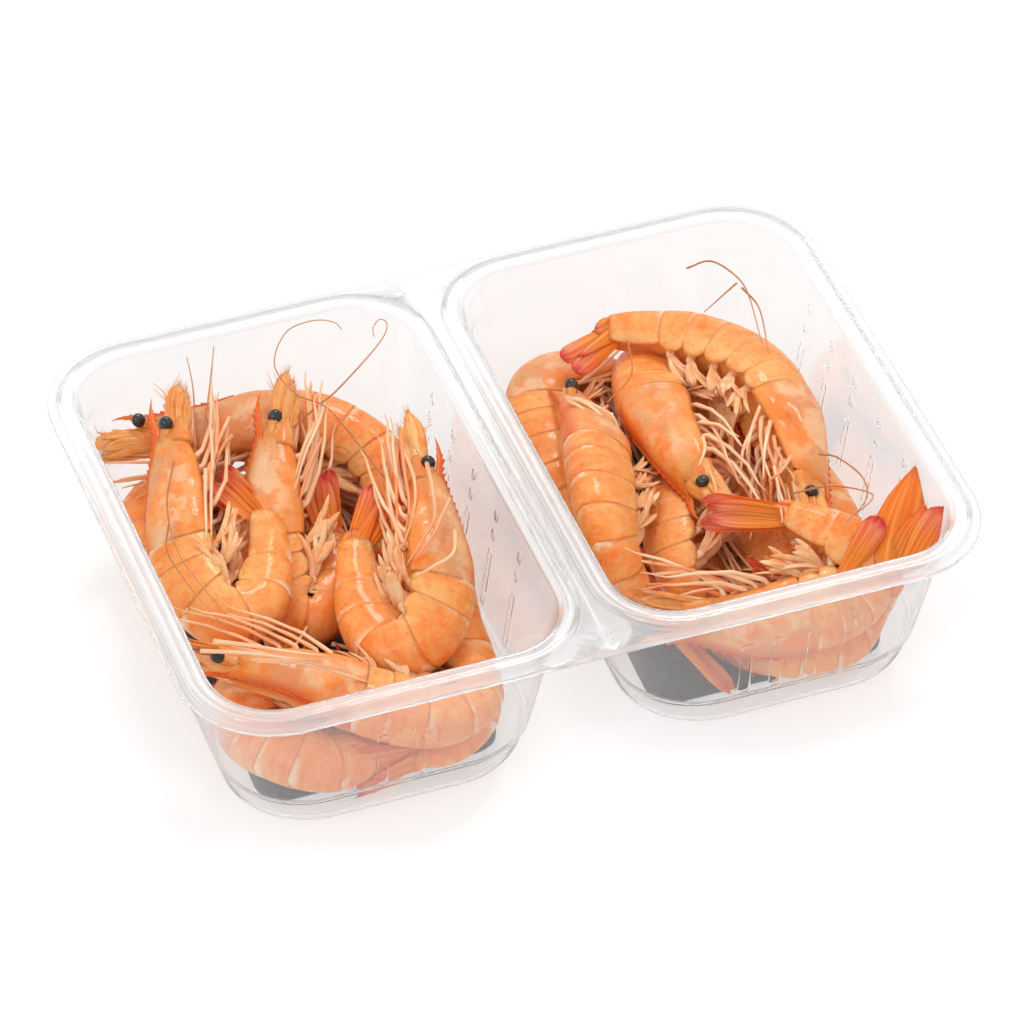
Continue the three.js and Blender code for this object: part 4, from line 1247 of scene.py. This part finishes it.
def leaf(piece, finish, root, way, across, length, width, outline, thick=0.22, tone=0.0, droop=0.25,
         bend=0.0, ribs=0.05, rows=16, sides=14, fringe=None):
    """A flat blade along a way, with ribs along it. "fringe" gives its hairs: count, length, finish, rng."""
    way = unit(way)
    across = unit(across - np.dot(across, way) * way)
    lift = np.cross(way, across)
    u = np.linspace(0, 1, rows)
    outer, inner = (width / 2 * profile(u, outline[0], edge) for edge in outline[1:])
    path = np.asarray(root) + way * (length * u)[:, None] + lift * (bend * length * u ** 2)[:, None]
    thick = thick * profile(u, (0, 0.2, 0.8, 1), (1.6, 1, 0.8, 0.4))
    sweep(piece, finish, path, (outer, inner), thick, across, tone, sides, droop, ribs)
    if fringe:
        hairs, hair, hair_finish, rng = fringe
        t = rng.uniform(-1, 1, hairs)
        k = (1 - 0.4 * np.abs(t) ** 2.5) * (rows - 1)
        centre = np.stack([np.interp(k, np.arange(rows), path[:, j]) for j in range(3)], 1)
        edge = np.where(t > 0, np.interp(k, np.arange(rows), outer), np.interp(k, np.arange(rows), inner))
        roots = centre + across * (edge * np.sign(t) * np.abs(t) ** 0.6)[:, None]
        roots -= lift * (droop * edge * np.abs(t))[:, None]
        ways = way + across * t[:, None] * 0.6 + rng.normal(size=(hairs, 3)) * 0.12
        needles(piece, hair_finish, roots, ways, hair * rng.uniform(0.5, 1.2, hairs), 0.07, tone)


def make_face(shrimp):
    """What fills the front of the head shell: blunt mouth parts, feeler stalks and their scales."""
    piece, rng = shrimp.piece, shrimp.rng
    point, along, side, back = shrimp.spine.at(0.0)
    ahead = -along
    high, wide = shrimp.up(0.0), shrimp.wide(0.0)
    mask = spaced(np.array([point + along * 8, point + along, point + ahead * 6 - back * 1.5]), 12)
    girth = profile(np.linspace(0, 1, 12), (0, 0.55, 0.8, 1), (1.05, 0.97, 0.8, 0.55))
    sweep(piece, "scale_leaf", mask, wide * girth, high * 0.9 * girth, side, 0.3, 14, ribs=0.12)
    middle = point + along * 3
    for hand in (-1, 1):
        out = side * hand
        low = middle + out * 1.9 - back * 1.4
        base = spaced(np.array([low + along, low + ahead * 3, low + ahead * 6.5 + out * 0.2]), 9)
        sweep(piece, "scale_leaf", base, np.linspace(2.7, 1.7, 9), np.linspace(3.4, 1.7, 9), side, 0.2, 12)
        for deeper, length, width in SCALE_LEAVES:
            across = back * (0.9 - 0.15 * deeper) + out * rng.uniform(0.1, 0.6)
            way = ahead + out * rng.uniform(-0.08, 0.06) - back * (deeper * 0.06 + rng.uniform(-0.05, 0.06))
            root = low + ahead * 3 + out * 0.8 - back * deeper * 0.8
            leaf(piece, "scale_leaf", root, way, -across, length * rng.uniform(0.82, 1.08), width,
                 SCALE_OUTLINE, 0.26, rng.uniform(0, 0.8), 0.22, rng.uniform(-0.04, 0.04), 0.1,
                 fringe=(int(8 * width), 2.8, "limb", rng))
        stem = middle + out * 0.9 + back * 0.6
        joints = tapered(stem, (ahead + out * 0.06 + back * 0.04,) * 3, (5.5, 3.4, 2.8), 14)
        swell = 1 + 0.18 * np.cos(np.linspace(0, 1, 14) * 6 * math.pi)
        sweep(piece, "limb", joints, 1.1 * swell, 0.95 * swell, side, 0.75)
        for lean in (-0.14, 0.14):
            bow = joints[-1] + ahead * 4 + back * lean * 5
            tip = joints[-1] + ahead * 8 + back * lean * 18 + rng.normal(size=3) * 0.8
            whip = spaced(through([joints[-1], bow, tip]), 10)
            size = np.linspace(0.28, 0.07, 10)
            sweep(piece, "limb", whip, size, size, side, 0.7, 5)
        for reach, drop, length in ((1.2, 3.4, 15), (0.4, 3.9, 12), (0.9, 2.6, 13)):
            start = middle + out * (1.1 + reach * 0.6) - back * drop
            ways = (ahead - back * 0.1, ahead + back * 0.05 + out * 0.05, ahead + back * 0.12)
            palp = tapered(start, ways, (length * 0.4, length * 0.35, length * 0.25), 14)
            size = np.linspace(0.6, 0.2, 14)
            sweep(piece, "limb", palp, size, size * 0.8, side, rng.uniform(0, 0.9), 7)


def make_legs(shrimp):
    """Five pairs of jointed walking legs under the head shell, folded forwards in a bundle."""
    rng = shrimp.rng
    for pair in range(5):
        share = 0.1 + 0.045 * pair
        _, along, side, back = shrimp.spine.at(share)
        ahead, down = -along, -back
        for hand in (-1, 1):
            start = shrimp.spot(share, hand * shrimp.wide(share) * 0.45, -0.72 * shrimp.deep(share))
            out = side * hand
            ways = np.array([
                down * 0.7 + out * 0.2 + ahead * 0.5,
                ahead + down * 0.3 + out * 0.1,
                ahead + down * 0.05 + out * 0.05,
                ahead - down * 0.06,
                ahead + down * 0.15,
            ])
            ways += rng.normal(size=3) * 0.1 + rng.normal(size=(5, 3)) * 0.04
            path = tapered(start, ways, np.array(LEG_LENGTHS) * rng.uniform(0.8, 1.1), 28)
            size = profile(np.linspace(0, 1, 28), LEG_SHARES, LEG_SIZES)
            size = size * (1 + 0.08 * np.cos(np.linspace(0, 1, 28) * 10 * math.pi))
            sweep(shrimp.piece, "limb", path, size, size * 0.8, back, rng.uniform(0, 0.95), 7)


def finger(piece, start, way, turn, length, width, across, tone):
    """One soft, round-ended finger of a swimmeret, curved towards turn."""
    u = np.linspace(0, 1, 10)
    path = start + unit(way) * (length * u)[:, None] + np.asarray(turn) * (length * u ** 2)[:, None]
    half = width / 2 * profile(u, FINGER_PLACES, FINGER_SIZES)
    sweep(piece, "soft_limb", path, half, 0.42 * half, across, tone, 8, 0.15)


def make_swimmerets(shrimp):
    """Five pairs of swimmerets: a stalk with soft curved fingers that lie over each other."""
    rng, reach = shrimp.rng, shrimp.more.get("swim_reach", 1)
    for plate in range(1, 6):
        share = PLATE_ENDS[plate] * 0.45 + PLATE_ENDS[plate + 1] * 0.55
        _, along, side, back = shrimp.spine.at(share)
        down, ahead = -back, -along
        deep = float(shrimp.deep(share))
        for hand in (-1, 1):
            out = side * hand
            start = shrimp.spot(share, hand * shrimp.wide(share) * 0.42, -0.6 * deep)
            way = unit(down + ahead * rng.uniform(0.2, 0.6) + out * 0.15)
            stalk = start + way * np.linspace(0, 3.4, 7)[:, None]
            thick = np.linspace(0.85, 0.65, 7)
            sweep(shrimp.piece, "limb", stalk, thick * 1.5, thick, along, rng.uniform(0, 0.5))
            flap_way = way + ahead * 0.35 + out * rng.uniform(0, 0.3)
            leaf(shrimp.piece, "soft_limb", stalk[-1] - way, flap_way, along + out * rng.uniform(-0.5, 0.5),
                 8.5 * reach, 3.2, INNER_OUTLINE, 0.3, rng.uniform(0.1, 0.5), 0.2, 0.2, 0.05, 12, 12,
                 fringe=(40, 2, "soft_limb", rng))
            for lean, length, width in SWIM_FINGERS:
                finger_way = way + ahead * (lean + rng.uniform(-0.1, 0.1)) + out * rng.uniform(-0.2, 0.2)
                turn = ahead * rng.uniform(0.2, 0.5) - down * rng.uniform(0, 0.3)
                across = along + out * rng.uniform(-0.5, 0.5)
                size = length * reach * rng.uniform(0.85, 1.15)
                root = stalk[-1] - way * 0.8
                finger(shrimp.piece, root, finger_way, turn, size, width, across, rng.uniform(0, 0.4))


def make_tail(shrimp):
    """The tail fan: a pointed middle blade over two broad blades on each side."""
    piece, rng = shrimp.piece, shrimp.rng
    point, along, side, back = shrimp.spine.at(1.0)
    way = shrimp.fan
    side = np.asarray(shrimp.more.get("fan_side", side), float)
    across = unit(side - np.dot(side, way) * way)
    lift = np.cross(across, way)
    lift = lift * np.sign(np.dot(lift, back) or 1)
    root = point - along * 2
    knuckle = spaced(np.array([point - along * 3, point + way, point + way * 3.5]), 8)
    sweep(piece, "tail_blade", knuckle, np.linspace(2.6, 2.4, 8), np.linspace(2.4, 1.4, 8), across, 0.2, 12)
    for hand in (-1, 1):
        joint = point + across * hand * 1.9 - way * 0.5 + lift * 0.2
        lump = spaced(np.array([joint - way * 2, joint, joint + way * 3.2]), 9)
        swell = np.sin(np.linspace(0.08, 0.94, 9) * math.pi) ** 0.6
        sweep(piece, "tail_blade", lump, 1.6 * swell, 1.4 * swell, across, 0.5, 10)
    full, broad = shrimp.more.get("blade", (18, 5.2))
    placed = shrimp.more.get("placed_blades")
    for k, (hand, share, out, rise, size, outline) in enumerate(TAIL_BLADES):
        start = root + across * hand * out * min(1, shrimp.spread) + lift * rise
        goal = start + way * full * size + across * hand * shrimp.spread * share + lift * rise * 0.6
        width, blush = broad * size, shrimp.more.get("blush", 0.5) + rng.uniform(-0.15, 0.15)
        if placed:
            start, goal, width, blush, outline = placed[k]
        run = np.subtract(goal, start)
        tilt = across * hand + lift * rng.uniform(-0.3, 0.05)
        up_side = 1 if np.dot(np.cross(run, tilt), lift) > 0 else -1
        leaf(piece, "tail_blade", start, run, tilt, np.linalg.norm(run), width, outline, 0.36,
             blush, 0.22 * up_side, rng.uniform(-0.04, 0.04), 0.14, 20, 20,
             fringe=(30, 1.3, "tail_blade", rng))
    if placed:
        return
    leaf(piece, "tail_blade", root + lift * 1.1, way + lift * 0.05, across, full * 0.84, broad * 0.7,
         TELSON_OUTLINE, 0.7, shrimp.more.get("blush", 0.5), 0.3, ribs=0.16, rows=18, sides=16)


def make_strays(shrimp):
    """The long feelers, and the legs that lie free."""
    kinds = ((FEELERS, "feeler", FEELER_HALF, 0.5), (FREE_LEGS, "limb", FREE_LEG_HALF, 0.45))
    for runs, finish, half, end in kinds:
        for points in runs.get(shrimp.name, ()):
            path = through(points)
            count = max(12, int(np.linalg.norm(np.diff(path, axis=0), axis=1).sum() / 1.2))
            path = spaced(path, count)
            size = half * np.linspace(1, end, count)
            sweep(shrimp.piece, finish, path, size, size, (0.3, 0.2, 0.93), shrimp.rng.uniform(0, 0.8), 7)


def keep_inside(points):
    """Presses what would cross the tub's walls, floor or pad against their inner faces."""
    middle = np.array([math.copysign(TUB_MIDDLE, points[:, 0].mean()), 0])
    spot, height = points[:, :2] - middle, points[:, 2]
    on_pad = (np.abs(spot) < PAD_HALF).all(axis=1)
    height = np.clip(height, np.where(on_pad, PAD_TOP, SHEET) + 0.15, FLANGE_TOP + BEAD_HEIGHT - 0.1)
    boxes = np.array([tub_box(z, -0.3) for z in np.linspace(0.1, FLANGE_TOP, 87)])
    left, right, _, back, radius = (
        np.interp(height, np.linspace(0.1, FLANGE_TOP, 87), boxes[:, k]) for k in range(5))
    core = np.stack([(right - left) / 2 - radius, back - radius], 1)
    nearest = np.clip(spot, -core, core)
    over = spot - nearest
    pull = np.minimum(1, radius / np.maximum(np.linalg.norm(over, axis=1), 1e-6))
    pull = np.where(height > FLANGE_TOP - 0.5, 1, pull)
    spot = nearest + over * pull[:, None] + middle
    return np.column_stack([spot, height])


def make_shrimp(name, seed, spec):
    shrimp = Shrimp(name, seed, **spec)
    make_body(shrimp)
    make_beak(shrimp)
    make_face(shrimp)
    make_eyes(shrimp)
    make_legs(shrimp)
    make_swimmerets(shrimp)
    make_tail(shrimp)
    shrimp.piece.points = [keep_inside(points) for points in shrimp.piece.points]
    make_strays(shrimp)
    return shrimp.piece.make()


def make_camera():
    turn, lift = math.radians(CAMERA_AZIMUTH), math.radians(CAMERA_ELEVATION)
    ahead = np.array([math.sin(turn) * math.cos(lift), math.cos(turn) * math.cos(lift), -math.sin(lift)])
    level = np.array([math.cos(turn), -math.sin(turn), 0])
    above = np.cross(level, ahead)
    roll = math.radians(CAMERA_ROLL)
    right = math.cos(roll) * level + math.sin(roll) * above
    above = math.cos(roll) * above - math.sin(roll) * level
    camera = bpy.data.objects.new("camera", bpy.data.cameras.new("camera"))
    camera.data.lens = LENS
    camera.data.sensor_width = SENSOR
    camera.data.clip_end = 20
    stand = (np.array(LOOK_AT) - ahead * CAMERA_DISTANCE) * MM
    rows = np.column_stack([right, above, -ahead, stand])
    camera.matrix_world = Matrix([*rows.tolist(), [0, 0, 0, 1]])
    bpy.context.scene.collection.objects.link(camera)
    bpy.context.scene.camera = camera


def make_light(name, at, look, size, power):
    lamp = bpy.data.lights.new(name, "AREA")
    lamp.shape = "DISK"
    lamp.size = size
    lamp.energy = power
    holder = bpy.data.objects.new(name, lamp)
    away = unit(np.subtract(at, look))
    right = unit(np.cross((0, 0.01, 1), away))
    rows = np.column_stack([right, np.cross(away, right), away, at])
    holder.matrix_world = Matrix([*rows.tolist(), [0, 0, 0, 1]])
    bpy.context.scene.collection.objects.link(holder)


def make_studio():
    """A white floor under an even sky that is darker near its edge, and two soft lamps."""
    mesh = bpy.data.meshes.new("studio_floor")
    corners = [(-4, -4, 0), (4, -4, 0), (4, 4, 0), (-4, 4, 0)]
    mesh.from_pydata(corners, [], [(0, 1, 2, 3)])
    mesh.materials.append(bpy.data.materials["white_floor"])
    floor = bpy.data.objects.new("studio_floor", mesh)
    bpy.context.scene.collection.objects.link(floor)
    make_light("key_lamp", (0.5, 0.9, 1.5), (0, 0, 0), 0.4, 8)
    make_light("fill_lamp", (-1.1, -0.5, 1.3), (0, 0, 0), 0.7, 4)
    world = bpy.data.worlds.new("studio_sky")
    bpy.context.scene.world = world
    world.use_nodes = True
    nodes = Nodes(world.node_tree)
    way = nodes.add("SeparateXYZ", {0: nodes.add("TexCoord").outputs["Generated"]})
    height = nodes.fade(way.outputs[2], 0.05, 0.45)
    front = nodes.fade(way.outputs[1], 0.3, -0.6, 0.6, 1)
    dark = nodes.sum("MULTIPLY", front, nodes.sum("SUBTRACT", 1, height))
    tint = nodes.blend(dark, "FFFFFF", "9C9FA2")
    sky = world.node_tree.nodes["Background"]
    nodes.put(sky.inputs["Color"], tint)
    sky.inputs["Strength"].default_value = 0.94


def main():
    make_camera()
    for make in (make_patches, make_strands, make_freckles, shell_finish, limb_finish, soft_limb_finish,
                 scale_leaf_finish, beak_finish, tail_blade_finish, eye_finish, feeler_finish,
                 clear_sheet_finish, clear_bead_finish, fleece_finish, white_floor_finish):
        make()
    make_studio()
    bpy.context.scene.view_settings.view_transform = "Standard"
    tray = make_tray()
    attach(tray, "root")
    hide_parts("tray")
    for node in ("pad_left", "pad_right"):
        pad = make_pad(node)
        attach(pad, "root")
        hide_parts(node)
    for seed, (name, spec) in enumerate(SHRIMPS.items()):
        shrimp = make_shrimp(name, seed + 11, spec)
        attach(shrimp, "root")
        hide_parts(name)


main()
